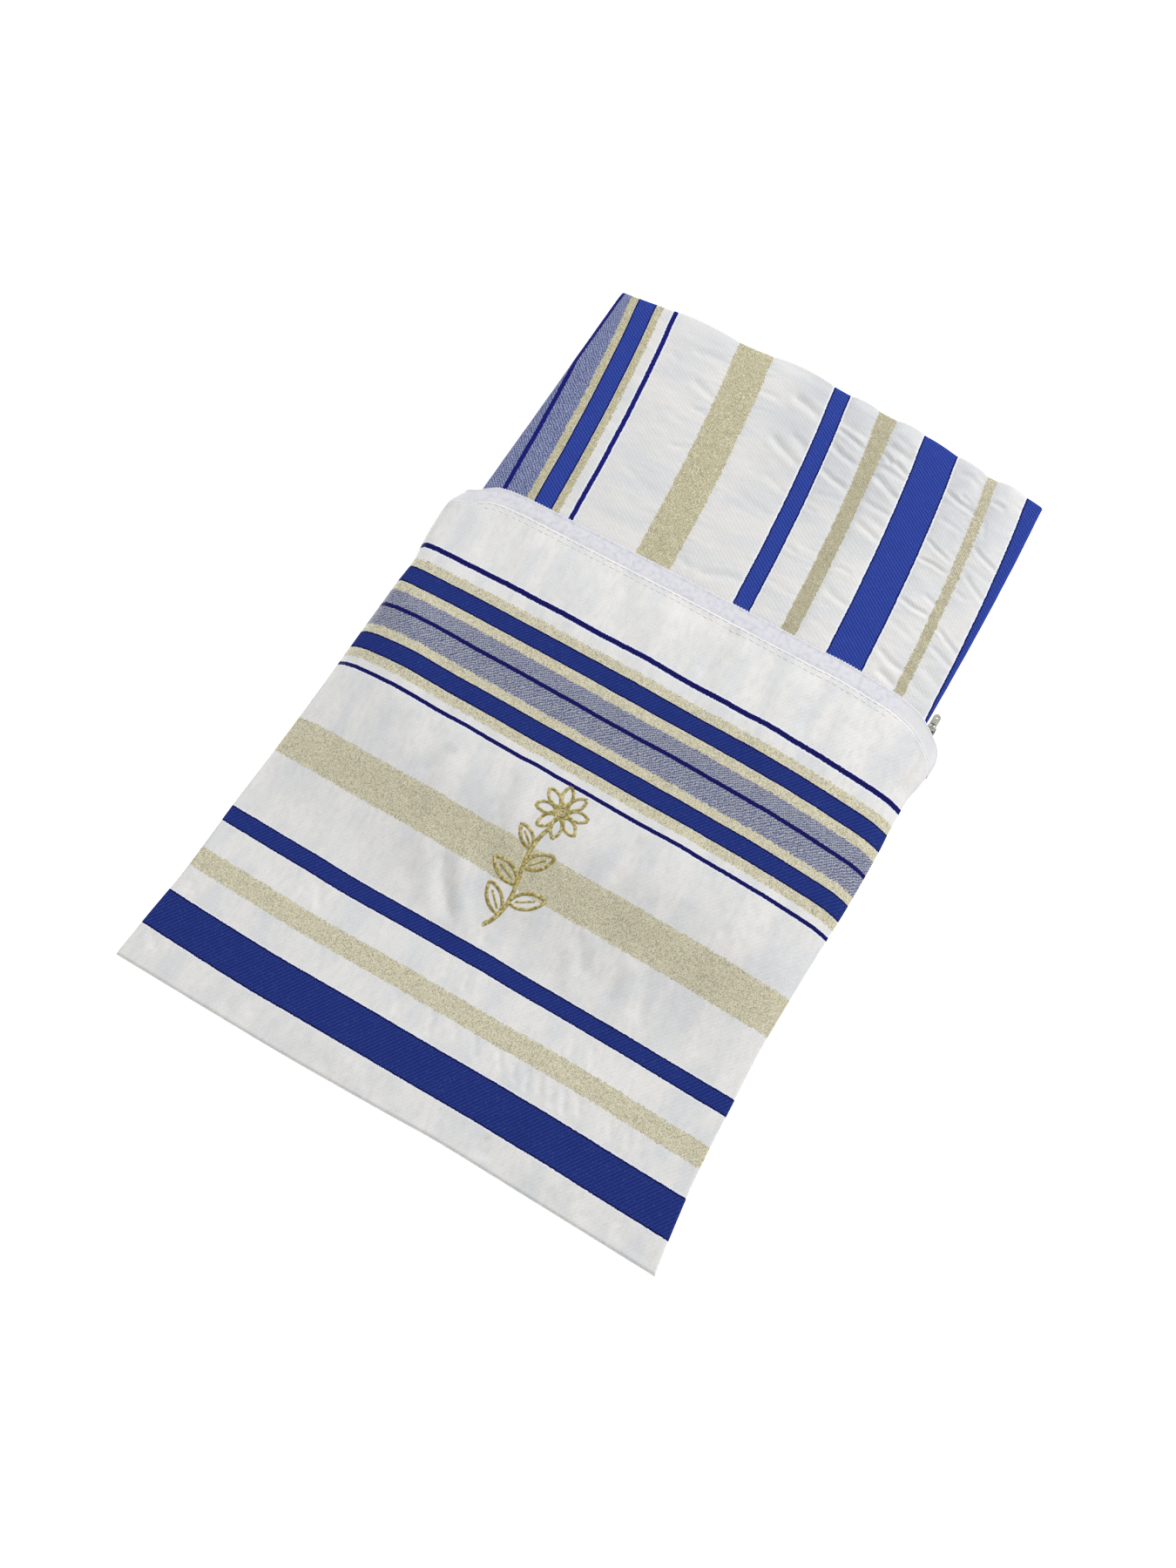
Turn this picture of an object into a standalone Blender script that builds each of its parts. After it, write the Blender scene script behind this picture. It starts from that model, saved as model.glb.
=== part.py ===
"""Folded prayer scarf, half drawn out of its zip pouch, lying on a table.

Metres, +Z up. X runs across the pouch and Y runs along it, from its bottom seam to the scarf's far
end. The origin is on the underside of the pouch's back panel, on the pouch's centre line and half
way along the whole part. The tables and the functions work in millimetres, with "along" measured
from the bottom seam and "across" from the centre line. metres() turns their points into metres.
"""
from collections import namedtuple
from math import cos, pi, radians, sin

import bmesh
import bpy
import numpy as np

MM = 0.001
COLLECTION = "folded_prayer_scarf_in_pouch"

# Driving sizes, in millimetres
ORIGIN_ALONG = 172.0
PANEL_WALL = 1.2
LEAF_WALL = 1.2
TAPE_WALL = 1.0
TAPE_WIDTH = 7.5
SEAM_GAP = 0.3
SCARF_SLACK = 0.5
FLAT_UNDER = PANEL_WALL + SEAM_GAP
MOUTH_ALONG = 236.0

# Pouch outline: its side seams, and the shelf that the scarf's own sides are measured from
Sides = namedtuple("Sides", "along left right")
POUCH_SIDES = [
    Sides(0, -114.0, 116.2),
    Sides(14, -113.1, 114.0),
    Sides(42, -111.2, 110.8),
    Sides(69, -110.9, 109.3),
    Sides(95, -110.0, 108.2),
    Sides(125, -109.4, 108.6),
    Sides(160, -109.1, 109.4),
    Sides(178, -108.5, 109.2),
    Sides(190, -107.9, 108.6),
    Sides(203, -109.7, 108.5),
    Sides(212, -110.4, 110.0),
    Sides(218, -110.6, 110.6),
    Sides(226, -107.0, 110.6),
    Sides(232, -103.6, 110.3),
    Sides(240, -103.4, 110.0),
    Sides(347, -103.4, 105.5),
]
SCARF_SIDES = [
    Sides(98, -99.4, 97.6),
    Sides(118, -100.2, 98.6),
    Sides(200, -100.4, 99.3),
    Sides(236, -100.4, 100.5),
    Sides(270, -100.4, 100.1),
    Sides(300, -100.6, 99.2),
    Sides(343, -100.8, 97.0),
]

# Edges that run across: the pouch's bottom seam, its mouth and the scarf's far end
Edge = namedtuple("Edge", "across along")
BOTTOM_EDGE = [Edge(-114, -2.2), Edge(-50, -1.6), Edge(0, 0.0), Edge(30, 1.2), Edge(70, 1.1), Edge(116, 1.0)]
MOUTH_EDGE = [
    Edge(-110.6, 217.8),
    Edge(-109.8, 220.8),
    Edge(-107.9, 224.4),
    Edge(-105.6, 226.5),
    Edge(-103.6, 227.3),
    Edge(-101.0, 228.3),
    Edge(-98.3, 230.4),
    Edge(-93.0, 233.6),
    Edge(-86.0, 234.7),
    Edge(-76.0, 234.9),
    Edge(-58.0, 234.8),
    Edge(0.0, 235.4),
    Edge(50.0, 235.9),
    Edge(64.0, 236.6),
    Edge(84.0, 236.6),
    Edge(94.0, 235.4),
    Edge(99.0, 233.4),
    Edge(102.8, 231.1),
    Edge(105.3, 229.3),
    Edge(108.4, 226.9),
    Edge(110.0, 224.2),
    Edge(110.6, 222.0),
]
FAR_EDGE = [
    Edge(-100, 341.8),
    Edge(-90, 342.6),
    Edge(-70, 344.4),
    Edge(-45, 344.0),
    Edge(-15, 345.8),
    Edge(10, 344.7),
    Edge(45, 343.8),
    Edge(70, 341.2),
    Edge(88, 342.1),
    Edge(97, 341.8),
]
FAR_BOW_START = 300.0
FAR_PLAIN = 343.0

# The form of the stuffed pouch: how far the front panel's underside stands above its flat level
Ridge = namedtuple("Ridge", "along rise")
RIDGE = [
    Ridge(68, 0.0),
    Ridge(78, 0.7),
    Ridge(95, 3.6),
    Ridge(110, 6.8),
    Ridge(124, 9.2),
    Ridge(150, 10.9),
    Ridge(187, 12.3),
    Ridge(236, 13.3),
    Ridge(300, 12.7),
    Ridge(335, 12.0),
    Ridge(348, 11.0),
]
Crown = namedtuple("Crown", "across share")
CROWN = [
    Crown(-104, 0.68),
    Crown(-90, 0.76),
    Crown(-70, 0.87),
    Crown(-45, 0.96),
    Crown(-15, 1.0),
    Crown(40, 1.0),
    Crown(60, 0.93),
    Crown(78, 0.78),
    Crown(92, 0.61),
    Crown(104, 0.5),
]
Run = namedtuple("Run", "along left right")
SIDE_RUN = [
    Run(70, 26, 26),
    Run(120, 22, 22),
    Run(152, 18, 20),
    Run(182, 8, 24),
    Run(212, 8, 16),
    Run(224, 6.5, 13),
    Run(232, 3.8, 12),
]
Rise = namedtuple("Rise", "run share")
SIDE_RISE = [
    Rise(0.0, 0.0),
    Rise(0.06, 0.08),
    Rise(0.15, 0.36),
    Rise(0.28, 0.66),
    Rise(0.45, 0.87),
    Rise(0.70, 0.97),
    Rise(1.0, 1.0),
]

# Soft folds of the front panel: a row for each, its middle, how far it is turned from the pouch's
# length, its half length, its half width and its height
Fold = namedtuple("Fold", "across along turn reach width lift")
SIDE_FADE_START = 2.0
SIDE_FADE_END = 14.0
BOTTOM_FADE_START = 1.0
BOTTOM_FADE_END = 10.0
MOUTH_FADE = 12.0
PANEL_FOLDS = [
    Fold(-84, 151, 8, 24, 14, 2.2),
    Fold(-64, 212, 4, 20, 9, 0.7),
    Fold(-41, 206, -4, 22, 8, 0.6),
    Fold(-6, 208, 0, 24, 9, 0.9),
    Fold(27, 210, 3, 20, 6, 0.9),
    Fold(52, 206, -3, 22, 7, 1.0),
    Fold(73, 212, 5, 18, 6, 0.7),
    Fold(-47, 122, 18, 18, 6, 0.8),
    Fold(-15, 124, 12, 18, 5, 0.9),
    Fold(44, 124, -6, 20, 9, 1.0),
    Fold(80, 120, -4, 20, 7, 0.8),
    Fold(-17, 84, 28, 17, 5, 1.2),
    Fold(-34, 86, 28, 15, 6, 0.9),
    Fold(33, 84, 14, 16, 5, 0.8),
    Fold(55, 80, 10, 16, 6, 0.8),
    Fold(-72, 60, -6, 26, 10, 0.7),
    Fold(6, 48, -3, 22, 6, 0.6),
    Fold(50, 34, 8, 16, 5, 0.6),
    Fold(68, 38, 8, 16, 5, 0.6),
    Fold(-30, 12, 12, 12, 9, 0.5),
    Fold(62, 8, -10, 10, 9, 0.5),
]

# Puckers of the scarf's top leaf, in the white bands between the woven stripes. A band's start and
# end are measured across the stripes from the first thin line.
PUCKER_START = 237.5
PUCKER_FADE = 5.0
PUCKER_DRIFT = 37.0
PUCKER_WANDER = 0.22
PUCKER_STAGGER = 1.7
Band = namedtuple("Band", "start end pitch depth slant")
PUCKER_BANDS = [
    Band(30.0, 57.5, 17.0, 0.40, 0.10),
    Band(73.5, 100.5, 12.5, 0.70, 0.16),
    Band(108.5, 121.0, 11.5, 0.65, 0.20),
    Band(129.5, 141.0, 11.0, 0.75, 0.26),
    Band(157.0, 172.0, 13.0, 0.75, 0.30),
    Band(177.5, 191.0, 10.5, 0.65, 0.36),
]
STRIPE_REFERENCE = -78.6
STRIPE_REFERENCE_PLACE = 12.4
STRIPE_STRETCH = 1.02
Lean = namedtuple("Lean", "across lean")
STRIPE_LEAN = [Lean(-80, 0.118), Lean(95, 0.098)]
# The folded layers
FOLD_RADIUS = 1.9
LEAF_START = 146.0
CORE_CORNER = 4.0
CORE_FAR_INSET = 1.0
LOWER_STACK_LEAST = 0.3
STEP_START = 236.8
STEP_END = 240.5
Layer = namedtuple("Layer", "stack share end_inset side_inset")
LAYERS = [
    Layer("lower", 0.00, 1.3, 1.3),
    Layer("lower", 0.10, 0.4, 0.5),
    Layer("lower", 0.26, 0.0, 0.1),
    Layer("lower", 0.42, 0.4, 0.5),
    Layer("lower", 0.50, 2.0, 1.9),
    Layer("lower", 0.58, 0.6, 0.5),
    Layer("lower", 0.76, 0.2, 0.1),
    Layer("lower", 0.92, 0.6, 0.6),
    Layer("lower", 1.00, 2.1, 2.4),
    Layer("upper", 0.16, 0.7, 2.6),
    Layer("upper", 0.50, 0.3, 2.6),
    Layer("upper", 0.84, 0.6, 2.7),
    Layer("upper", 1.00, 1.6, 3.4),
]

# Zip slider and pull tab, in millimetres
SLIDER_ACROSS = 102.8
SLIDER_WIDTH = 4.0
SLIDER_BACK = 226.6
SLIDER_FRONT = 234.6
SLIDER_LOW = 1.3
SLIDER_TOP = 4.5
SLIDER_PLATE = 0.9
SLIDER_OVERLAP = 0.2
NOSE_WIDTH = 1.6
NOSE_LENGTH = 3.2
HINGE_ALONG = 232.8
HINGE_HEIGHT = 5.35
BRIDGE_WIDTH = 1.1
BRIDGE_HALF = 1.5
BRIDGE_WALL = 0.6
BRIDGE_TOP = 7.0
PULL_WIDTH = 3.0
PULL_THICKNESS = 0.9
PULL_ARM = 0.6
PULL_WINDOW = 2.6
PULL_LENGTH = 7.3
PULL_TILT = 4.0
PULL_HOLE_RADIUS = 0.55
PULL_STEPS = 8

# Grid lines of the cloth, in millimetres
PANEL_ROWS = [0, 6, 20, 38, 56, 68, 77, 86, 94, 102, 110, 118, 127, 138, 150, 162, 175, 188, 199, 209, 218, 228]
BACK_ROWS = 12
LEFT_INSETS = [0, 0.6, 1.3, 2.2, 3.4, 5.0, 7.5, 11.0, 16.0, 24.0]
RIGHT_INSETS = [0, 1.2, 2.6, 4.5, 7.0, 10.0, 14.0, 19.0, 26.0]
MIDDLE_COLUMNS = 17
TAPE_ROWS = 3
LEAF_INNER_ROWS = [162, 180, 200, 222, 232]
LEAF_ROW_STEP = 3.2
LEAF_INSETS = [0, 2.0, 4.4, 7.6]
LEAF_MIDDLE_COLUMNS = 28
CURL_ANGLES = [248, 214, 180, 147, 115]
CORE_ROWS = [98, 102, 118, 140, 165, 190, 215, 230, STEP_START, STEP_END, 262, 285, 305, 322, 334, 339, 343]
CORE_COLUMNS = 15

Finish = namedtuple("Finish", "colour roughness metallic")
SHARP_ANGLE = 40.0
FINISHES = {
    "pouch_front": Finish((0.80, 0.80, 0.82), 0.75, 0.0),
    "pouch_back": Finish((0.76, 0.76, 0.79), 0.75, 0.0),
    "zip_tape_front": Finish((0.78, 0.79, 0.86), 0.7, 0.0),
    "zip_tape_back": Finish((0.74, 0.75, 0.82), 0.7, 0.0),
    "scarf_top": Finish((0.82, 0.82, 0.83), 0.7, 0.0),
    "scarf_folds": Finish((0.12, 0.18, 0.52), 0.75, 0.0),
    "zip_slider": Finish((0.62, 0.60, 0.52), 0.35, 1.0),
    "zip_pull": Finish((0.66, 0.64, 0.56), 0.3, 1.0),
}


def curve(rows, column, value):
    """A smooth line through a table, with no overshoot, level beyond both ends."""
    place = np.array([row[0] for row in rows], float)
    height = np.array([getattr(row, column) for row in rows], float)
    step = np.diff(height) / np.diff(place)
    same_way = step[:-1] * step[1:] > 0
    total = np.where(same_way, step[:-1] + step[1:], 1.0)
    inner = np.where(same_way, 2 * step[:-1] * step[1:] / total, 0.0)
    slope = np.concatenate([step[:1], inner, step[-1:]])
    value = np.clip(np.asarray(value, float), place[0], place[-1])
    i = np.clip(np.searchsorted(place, value, side="right") - 1, 0, len(step) - 1)
    span = place[i + 1] - place[i]
    t = (value - place[i]) / span
    rest = 1 - t
    start = height[i] * (1 + 2 * t) * rest ** 2 + span * slope[i] * t * rest ** 2
    return start + height[i + 1] * (3 - 2 * t) * t ** 2 - span * slope[i + 1] * rest * t ** 2


def soft_step(value, start, end):
    """0 before start, 1 after end, smooth between."""
    t = np.clip((value - start) / (end - start), 0, 1)
    return t * t * (3 - 2 * t)


def side_rise(across, along):
    """How much of the full height the cloth has reached, in from the side seams."""
    from_left = across - curve(POUCH_SIDES, "left", along)
    from_right = curve(POUCH_SIDES, "right", along) - across
    left = curve(SIDE_RISE, "share", from_left / curve(SIDE_RUN, "left", along))
    return left * curve(SIDE_RISE, "share", from_right / curve(SIDE_RUN, "right", along))


def stuffed_height(across, along):
    """Underside of the pouch's front panel before its folds, and of the air over the scarf."""
    full = curve(RIDGE, "rise", along) * curve(CROWN, "share", across)
    return FLAT_UNDER + full * side_rise(across, along)


def panel_folds(across, along):
    """Height that the front panel's soft folds add."""
    total = np.zeros_like(across)
    for fold in PANEL_FOLDS:
        turn = radians(fold.turn)
        out = (across - fold.across) * cos(turn) + (along - fold.along) * sin(turn)
        down = (along - fold.along) * cos(turn) - (across - fold.across) * sin(turn)
        shape = np.exp(-(out / fold.width) ** 2 - (down / fold.reach) ** 4)
        total += fold.lift * shape
    return total * edge_fade(across, along)


def edge_fade(across, along):
    """0 on the pouch's side and bottom seams and at its mouth, 1 a short way inside."""
    from_left = across - curve(POUCH_SIDES, "left", along)
    from_right = curve(POUCH_SIDES, "right", along) - across
    left = soft_step(from_left, SIDE_FADE_START, SIDE_FADE_END)
    right = soft_step(from_right, SIDE_FADE_START, SIDE_FADE_END)
    bottom = soft_step(along - curve(BOTTOM_EDGE, "along", across), BOTTOM_FADE_START, BOTTOM_FADE_END)
    mouth = soft_step(curve(MOUTH_EDGE, "along", across) - along, TAPE_WIDTH, TAPE_WIDTH + MOUTH_FADE)
    return left * right * bottom * mouth


def scarf_height(across, along):
    """Top of the folded scarf before its puckers."""
    return stuffed_height(across, along) - SCARF_SLACK


def stripe_place(across, along):
    """Distance across the woven stripes from the first thin line, on the scarf's top leaf."""
    lean = curve(STRIPE_LEAN, "lean", across)
    at_mouth = across + lean * (along - MOUTH_ALONG)
    return STRIPE_REFERENCE_PLACE + (at_mouth - STRIPE_REFERENCE) / STRIPE_STRETCH


def puckers(across, along):
    """Relief of the gathered white bands, never below the plain leaf."""
    place = stripe_place(across, along)
    total = np.zeros_like(across)
    for number, band in enumerate(PUCKER_BANDS):
        inside = (place - band.start) / (band.end - band.start)
        belly = np.where((inside > 0) & (inside < 1), np.sin(pi * np.clip(inside, 0, 1)), 0.0)
        drift = PUCKER_WANDER * np.sin(2 * pi * along / PUCKER_DRIFT + PUCKER_STAGGER * number)
        turns = (along + band.slant * (place - band.start)) / band.pitch + drift
        ridge = 0.5 + 0.5 * np.cos(2 * pi * turns)
        total += band.depth * np.sqrt(belly) * ridge
    return total * soft_step(along, PUCKER_START, PUCKER_START + PUCKER_FADE)


def normals(points):
    """Unit normals of a grid of points, up on its top side."""
    along_rows = np.gradient(points, axis=0)
    along_columns = np.gradient(points, axis=1)
    up = np.cross(along_columns, along_rows)
    return up / np.linalg.norm(up, axis=2, keepdims=True)


def metres(points):
    """Points in metres, in the part's own frame."""
    points = np.asarray(points, float).copy()
    points[..., 1] -= ORIGIN_ALONG
    return points * MM


def make_object(name, mesh, collection):
    """An object of a mesh, in the part's collection, with its own material."""
    finish = FINISHES[name]
    material = bpy.data.materials.new(name)
    material.use_nodes = True
    shader = material.node_tree.nodes["Principled BSDF"]
    shader.inputs["Base Color"].default_value = (*finish.colour, 1.0)
    shader.inputs["Roughness"].default_value = finish.roughness
    shader.inputs["Metallic"].default_value = finish.metallic
    mesh.materials.append(material)
    mesh.shade_smooth()
    mesh.set_sharp_from_angle(angle=radians(SHARP_ANGLE))
    made = bpy.data.objects.new(name, mesh)
    collection.objects.link(made)
    return made


def cloth_wall(name, outer, inner, collection):
    """A closed wall between two grids of points, joined all round their edge."""
    rows, columns = outer.shape[:2]
    count = rows * columns
    number = np.arange(count).reshape(rows, columns)
    faces = []
    for i in range(rows - 1):
        for j in range(columns - 1):
            quad = [number[i, j], number[i, j + 1], number[i + 1, j + 1], number[i + 1, j]]
            faces.append(quad)
            faces.append([count + point for point in reversed(quad)])
    rim = list(number[0, :]) + list(number[1:, -1]) + list(number[-1, -2::-1]) + list(number[-2:0:-1, 0])
    for here, after in zip(rim, rim[1:] + rim[:1]):
        faces.append([after, here, count + here, count + after])
    points = np.concatenate([outer.reshape(-1, 3), inner.reshape(-1, 3)])
    mesh = bpy.data.meshes.new(name)
    mesh.from_pydata(metres(points).tolist(), [], [[int(point) for point in face] for face in faces])
    return make_object(name, mesh, collection)


def pouch_plan(levels, low_edge, high_edge):
    """Grid of the pouch's plan: levels from 0 on its lower edge to 1 on its upper edge."""
    levels = np.asarray(levels, float)[:, None]
    left_part = np.array(LEFT_INSETS, float)
    right_part = np.array(RIGHT_INSETS[::-1], float)
    share = np.linspace(0, 1, MIDDLE_COLUMNS + 2)[1:-1]
    across = np.zeros((len(levels), len(left_part) + len(share) + len(right_part)))
    along = low_edge(across) * (1 - levels) + high_edge(across) * levels
    for _ in range(6):
        left = curve(POUCH_SIDES, "left", along[:, :1])
        right = curve(POUCH_SIDES, "right", along[:, -1:])
        first = left + left_part
        last = right - right_part
        middle = first[:, -1:] * (1 - share) + last[:, :1] * share
        across = np.concatenate([first, middle, last], axis=1)
        along = low_edge(across) * (1 - levels) + high_edge(across) * levels
    return across, along


def bottom_line(across):
    """The pouch's bottom seam."""
    return curve(BOTTOM_EDGE, "along", across)


def tape_low_line(across):
    """The zip tape's edge that is sewn to a panel."""
    return curve(MOUTH_EDGE, "along", across) - TAPE_WIDTH


def mouth_line(across):
    """The zip tape's free edge."""
    return curve(MOUTH_EDGE, "along", across)


def panel_plan(levels):
    """Plan of a pouch panel, which ends a seam gap short of its zip tape."""
    across, along = pouch_plan(levels, bottom_line, tape_low_line)
    side = np.gradient(across[-1])
    rise = np.gradient(along[-1])
    length = np.hypot(side, rise)
    across[-1] += SEAM_GAP * rise / length
    along[-1] -= SEAM_GAP * side / length
    return across, along


def front_surface():
    """Underside grids of the front panel and its zip tape, and the way their walls face.

    Along the seam both face the same way, so that their edges stay parallel.
    """
    levels = np.array(PANEL_ROWS, float) / PANEL_ROWS[-1]
    across, along = panel_plan(levels)
    height = stuffed_height(across, along) + panel_folds(across, along)
    panel = np.stack([across, along, height], axis=2)
    across, along = pouch_plan(np.linspace(0, 1, TAPE_ROWS), tape_low_line, mouth_line)
    tape = np.stack([across, along, stuffed_height(across, along)], axis=2)
    panel_facing = normals(panel)
    tape_facing = normals(tape)
    seam = panel_facing[-1] + tape_facing[0]
    seam /= np.linalg.norm(seam, axis=1, keepdims=True)
    panel_facing[-1] = seam
    tape_facing[0] = seam
    return panel, panel_facing, tape, tape_facing


def pouch_front(collection):
    """The front panel: a wall that lies on the back panel and rises over the scarf."""
    under, facing, _, _ = front_surface()
    return cloth_wall("pouch_front", under + PANEL_WALL * facing, under, collection)


def zip_tape_front(collection):
    """The zip tape along the front panel's mouth edge, following the same form."""
    _, _, under, facing = front_surface()
    return cloth_wall("zip_tape_front", under + TAPE_WALL * facing, under, collection)


def flat_piece(name, across, along, thickness, collection):
    """A flat piece of cloth on the table, with the outline of a plan grid."""
    ring = [(0, j) for j in range(across.shape[1])]
    ring += [(i, across.shape[1] - 1) for i in range(1, across.shape[0])]
    ring += [(across.shape[0] - 1, j) for j in range(across.shape[1] - 2, -1, -1)]
    ring += [(i, 0) for i in range(across.shape[0] - 2, 0, -1)]
    bottom = np.array([(across[place], along[place], 0.0) for place in ring])
    shape = bmesh.new()
    face = shape.faces.new([shape.verts.new(point) for point in metres(bottom)])
    raised = bmesh.ops.extrude_face_region(shape, geom=[face])
    top = [item for item in raised["geom"] if isinstance(item, bmesh.types.BMVert)]
    bmesh.ops.translate(shape, verts=top, vec=(0, 0, thickness * MM))
    bmesh.ops.recalc_face_normals(shape, faces=shape.faces)
    mesh = bpy.data.meshes.new(name)
    shape.to_mesh(mesh)
    shape.free()
    return make_object(name, mesh, collection)


def pouch_back(collection):
    """The back panel, flat on the table under the front panel."""
    across, along = panel_plan(np.linspace(0, 1, BACK_ROWS))
    return flat_piece("pouch_back", across, along, PANEL_WALL, collection)


def zip_tape_back(collection):
    """The zip tape along the back panel's mouth edge."""
    across, along = pouch_plan([0, 0.5, 1], tape_low_line, mouth_line)
    return flat_piece("zip_tape_back", across, along, TAPE_WALL, collection)


def bowed(along, across):
    """Rows towards the far end follow its bow."""
    share = soft_step(along, FAR_BOW_START, FAR_PLAIN)
    return along + share * (curve(FAR_EDGE, "along", across) - FAR_PLAIN)


def leaf_plain():
    """Outer points of the top leaf before its puckers: flat on top, curled under at both sides."""
    rows = [LEAF_START] + LEAF_INNER_ROWS
    steps = int(round((FAR_PLAIN - MOUTH_ALONG) / LEAF_ROW_STEP))
    rows += list(np.linspace(MOUTH_ALONG, FAR_PLAIN, steps + 1))
    rows = np.array(rows)[:, None]
    left = curve(SCARF_SIDES, "left", rows) + FOLD_RADIUS
    right = curve(SCARF_SIDES, "right", rows) - FOLD_RADIUS
    insets = np.array(LEAF_INSETS, float)
    share = np.linspace(0, 1, LEAF_MIDDLE_COLUMNS + 2)[1:-1]
    middle = (left + insets[-1]) * (1 - share) + (right - insets[-1]) * share
    across = np.concatenate([left + insets, middle, right - insets[::-1]], axis=1)
    along = bowed(rows, across)
    top = np.stack([across, along, scarf_height(across, along)], axis=2)
    curls = []
    for edge, way in ((top[:, :1], 1), (top[:, -1:], -1)):
        angles = np.radians(np.array(CURL_ANGLES))
        curl = np.repeat(edge, len(angles), axis=1)
        curl[:, :, 0] += way * FOLD_RADIUS * np.cos(angles)
        curl[:, :, 2] += FOLD_RADIUS * (np.sin(angles) - 1)
        curls.append(curl)
    return np.concatenate([curls[0], top, curls[1][:, ::-1]], axis=1)


def scarf_top(collection):
    """The top leaf of the folded scarf, puckered outside over a plain inside."""
    plain = leaf_plain()
    facing = normals(plain)
    relief = puckers(plain[:, :, 0], plain[:, :, 1])
    curl = len(CURL_ANGLES)
    relief[:, :curl] = 0
    relief[:, -curl:] = 0
    outer = plain + relief[:, :, None] * facing
    return cloth_wall("scarf_top", outer, plain - LEAF_WALL * facing, collection)


def core_plan():
    """Plan grid of the hidden layers, a little inside the top leaf's far edge."""
    rows = np.array(CORE_ROWS, float)[:, None]
    left = curve(SCARF_SIDES, "left", rows)
    right = curve(SCARF_SIDES, "right", rows)
    ends = CORE_CORNER / (right - left)
    inner = np.linspace(0, 1, CORE_COLUMNS - 2)
    share = np.concatenate([0 * ends, ends + (1 - 2 * ends) * inner, 1 + 0 * ends], axis=1)
    across = left * (1 - share) + right * share
    far_inset = CORE_FAR_INSET * soft_step(rows, FAR_BOW_START, FAR_PLAIN)
    return across, bowed(rows, across) - far_inset


def core_base(along):
    """Underside of the hidden layers: on the back panel in the pouch, on the table outside it."""
    return FLAT_UNDER * (1 - np.clip((along - STEP_START) / (STEP_END - STEP_START), 0, 1))


def scarf_folds(collection):
    """The hidden layers as one rounded solid, with a groove between layers all round its edge."""
    across, along = core_plan()
    rows, columns = across.shape
    outward = np.zeros((rows, columns, 2))
    outward[0, :, 1] = -1
    outward[-1, :, 1] = 1
    outward[:, 0, 0] = -1
    outward[:, -1, 0] = 1
    round_off = np.zeros((rows, columns))
    for corner in ((0, 0), (0, -1), (-1, 0), (-1, -1)):
        round_off[corner] = CORE_CORNER * (1 - 1 / 2 ** 0.5) / 2 ** 0.5
    across = across - outward[:, :, 0] * round_off
    along = along - outward[:, :, 1] * round_off
    base = core_base(along)
    top = scarf_height(across, along) - LEAF_WALL - SEAM_GAP
    under_curl = top + LEAF_WALL + SEAM_GAP - 2 * FOLD_RADIUS - SEAM_GAP
    split = base + np.maximum(under_curl - base, LOWER_STACK_LEAST * (top - base))
    rim = [(0, j) for j in range(columns)] + [(i, columns - 1) for i in range(1, rows)]
    rim += [(rows - 1, j) for j in range(columns - 2, -1, -1)] + [(i, 0) for i in range(rows - 2, 0, -1)]
    rim_rows = np.array([place[0] for place in rim])
    rim_columns = np.array([place[1] for place in rim])
    way = outward[rim_rows, rim_columns]
    sideways = np.abs(way[:, 0])
    rings = []
    for layer in LAYERS:
        inset = layer.end_inset * (1 - sideways) + layer.side_inset * sideways
        low = base if layer.stack == "lower" else split
        high = split if layer.stack == "lower" else top
        height = low + (high - low) * layer.share
        ring = np.stack([across, along, height], axis=2)[rim_rows, rim_columns]
        ring[:, :2] -= way * inset[:, None]
        rings.append(ring)
    return layered_solid("scarf_folds", rings, (across, along, base, top), rim, collection)


def layered_solid(name, rings, grids, rim, collection):
    """A closed solid of rings from the bottom up, with a grid of faces below and above."""
    across, along, base, top = grids
    rows, columns = across.shape
    size = len(rim)
    points = [tuple(point) for ring in rings for point in ring]
    faces = []
    for level in range(len(rings) - 1):
        for k in range(size):
            after = (k + 1) % size
            low, high = level * size, (level + 1) * size
            faces.append([low + k, low + after, high + after, high + k])
    for height, level, flip in ((base, 0, True), (top, len(rings) - 1, False)):
        number = {place: level * size + k for k, place in enumerate(rim)}
        for i in range(1, rows - 1):
            for j in range(1, columns - 1):
                number[(i, j)] = len(points)
                points.append((across[i, j], along[i, j], height[i, j]))
        for i in range(rows - 1):
            for j in range(columns - 1):
                quad = [number[(i, j)], number[(i, j + 1)], number[(i + 1, j + 1)], number[(i + 1, j)]]
                faces.append(quad[::-1] if flip else quad)
    mesh = bpy.data.meshes.new(name)
    mesh.from_pydata(metres(points).tolist(), [], faces)
    return make_object(name, mesh, collection)


def box(shape, low, high):
    """Adds a box between two corners, in millimetres, to a bmesh in metres."""
    made = bmesh.ops.create_cube(shape, size=1.0)["verts"]
    low, high = metres([low, high])
    for vert in made:
        vert.co = [low[k] + (vert.co[k] + 0.5) * (high[k] - low[k]) for k in range(3)]


def union(name, boxes, collection):
    """One closed solid from overlapping boxes."""
    whole = None
    for number, (low, high) in enumerate(boxes):
        shape = bmesh.new()
        box(shape, low, high)
        mesh = bpy.data.meshes.new(f"{name}_piece_{number}")
        shape.to_mesh(mesh)
        shape.free()
        piece = bpy.data.objects.new(mesh.name, mesh)
        collection.objects.link(piece)
        if whole is None:
            whole = piece
            continue
        join = whole.modifiers.new("join", "BOOLEAN")
        join.operation = "UNION"
        join.object = piece
        bpy.context.view_layer.update()
        joined = bpy.data.meshes.new_from_object(whole.evaluated_get(bpy.context.evaluated_depsgraph_get()))
        whole.modifiers.clear()
        whole.data = joined
        bpy.data.objects.remove(piece)
    mesh = whole.data
    bpy.data.objects.remove(whole)
    mesh.name = name
    mesh.materials.clear()
    return make_object(name, mesh, collection)


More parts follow.
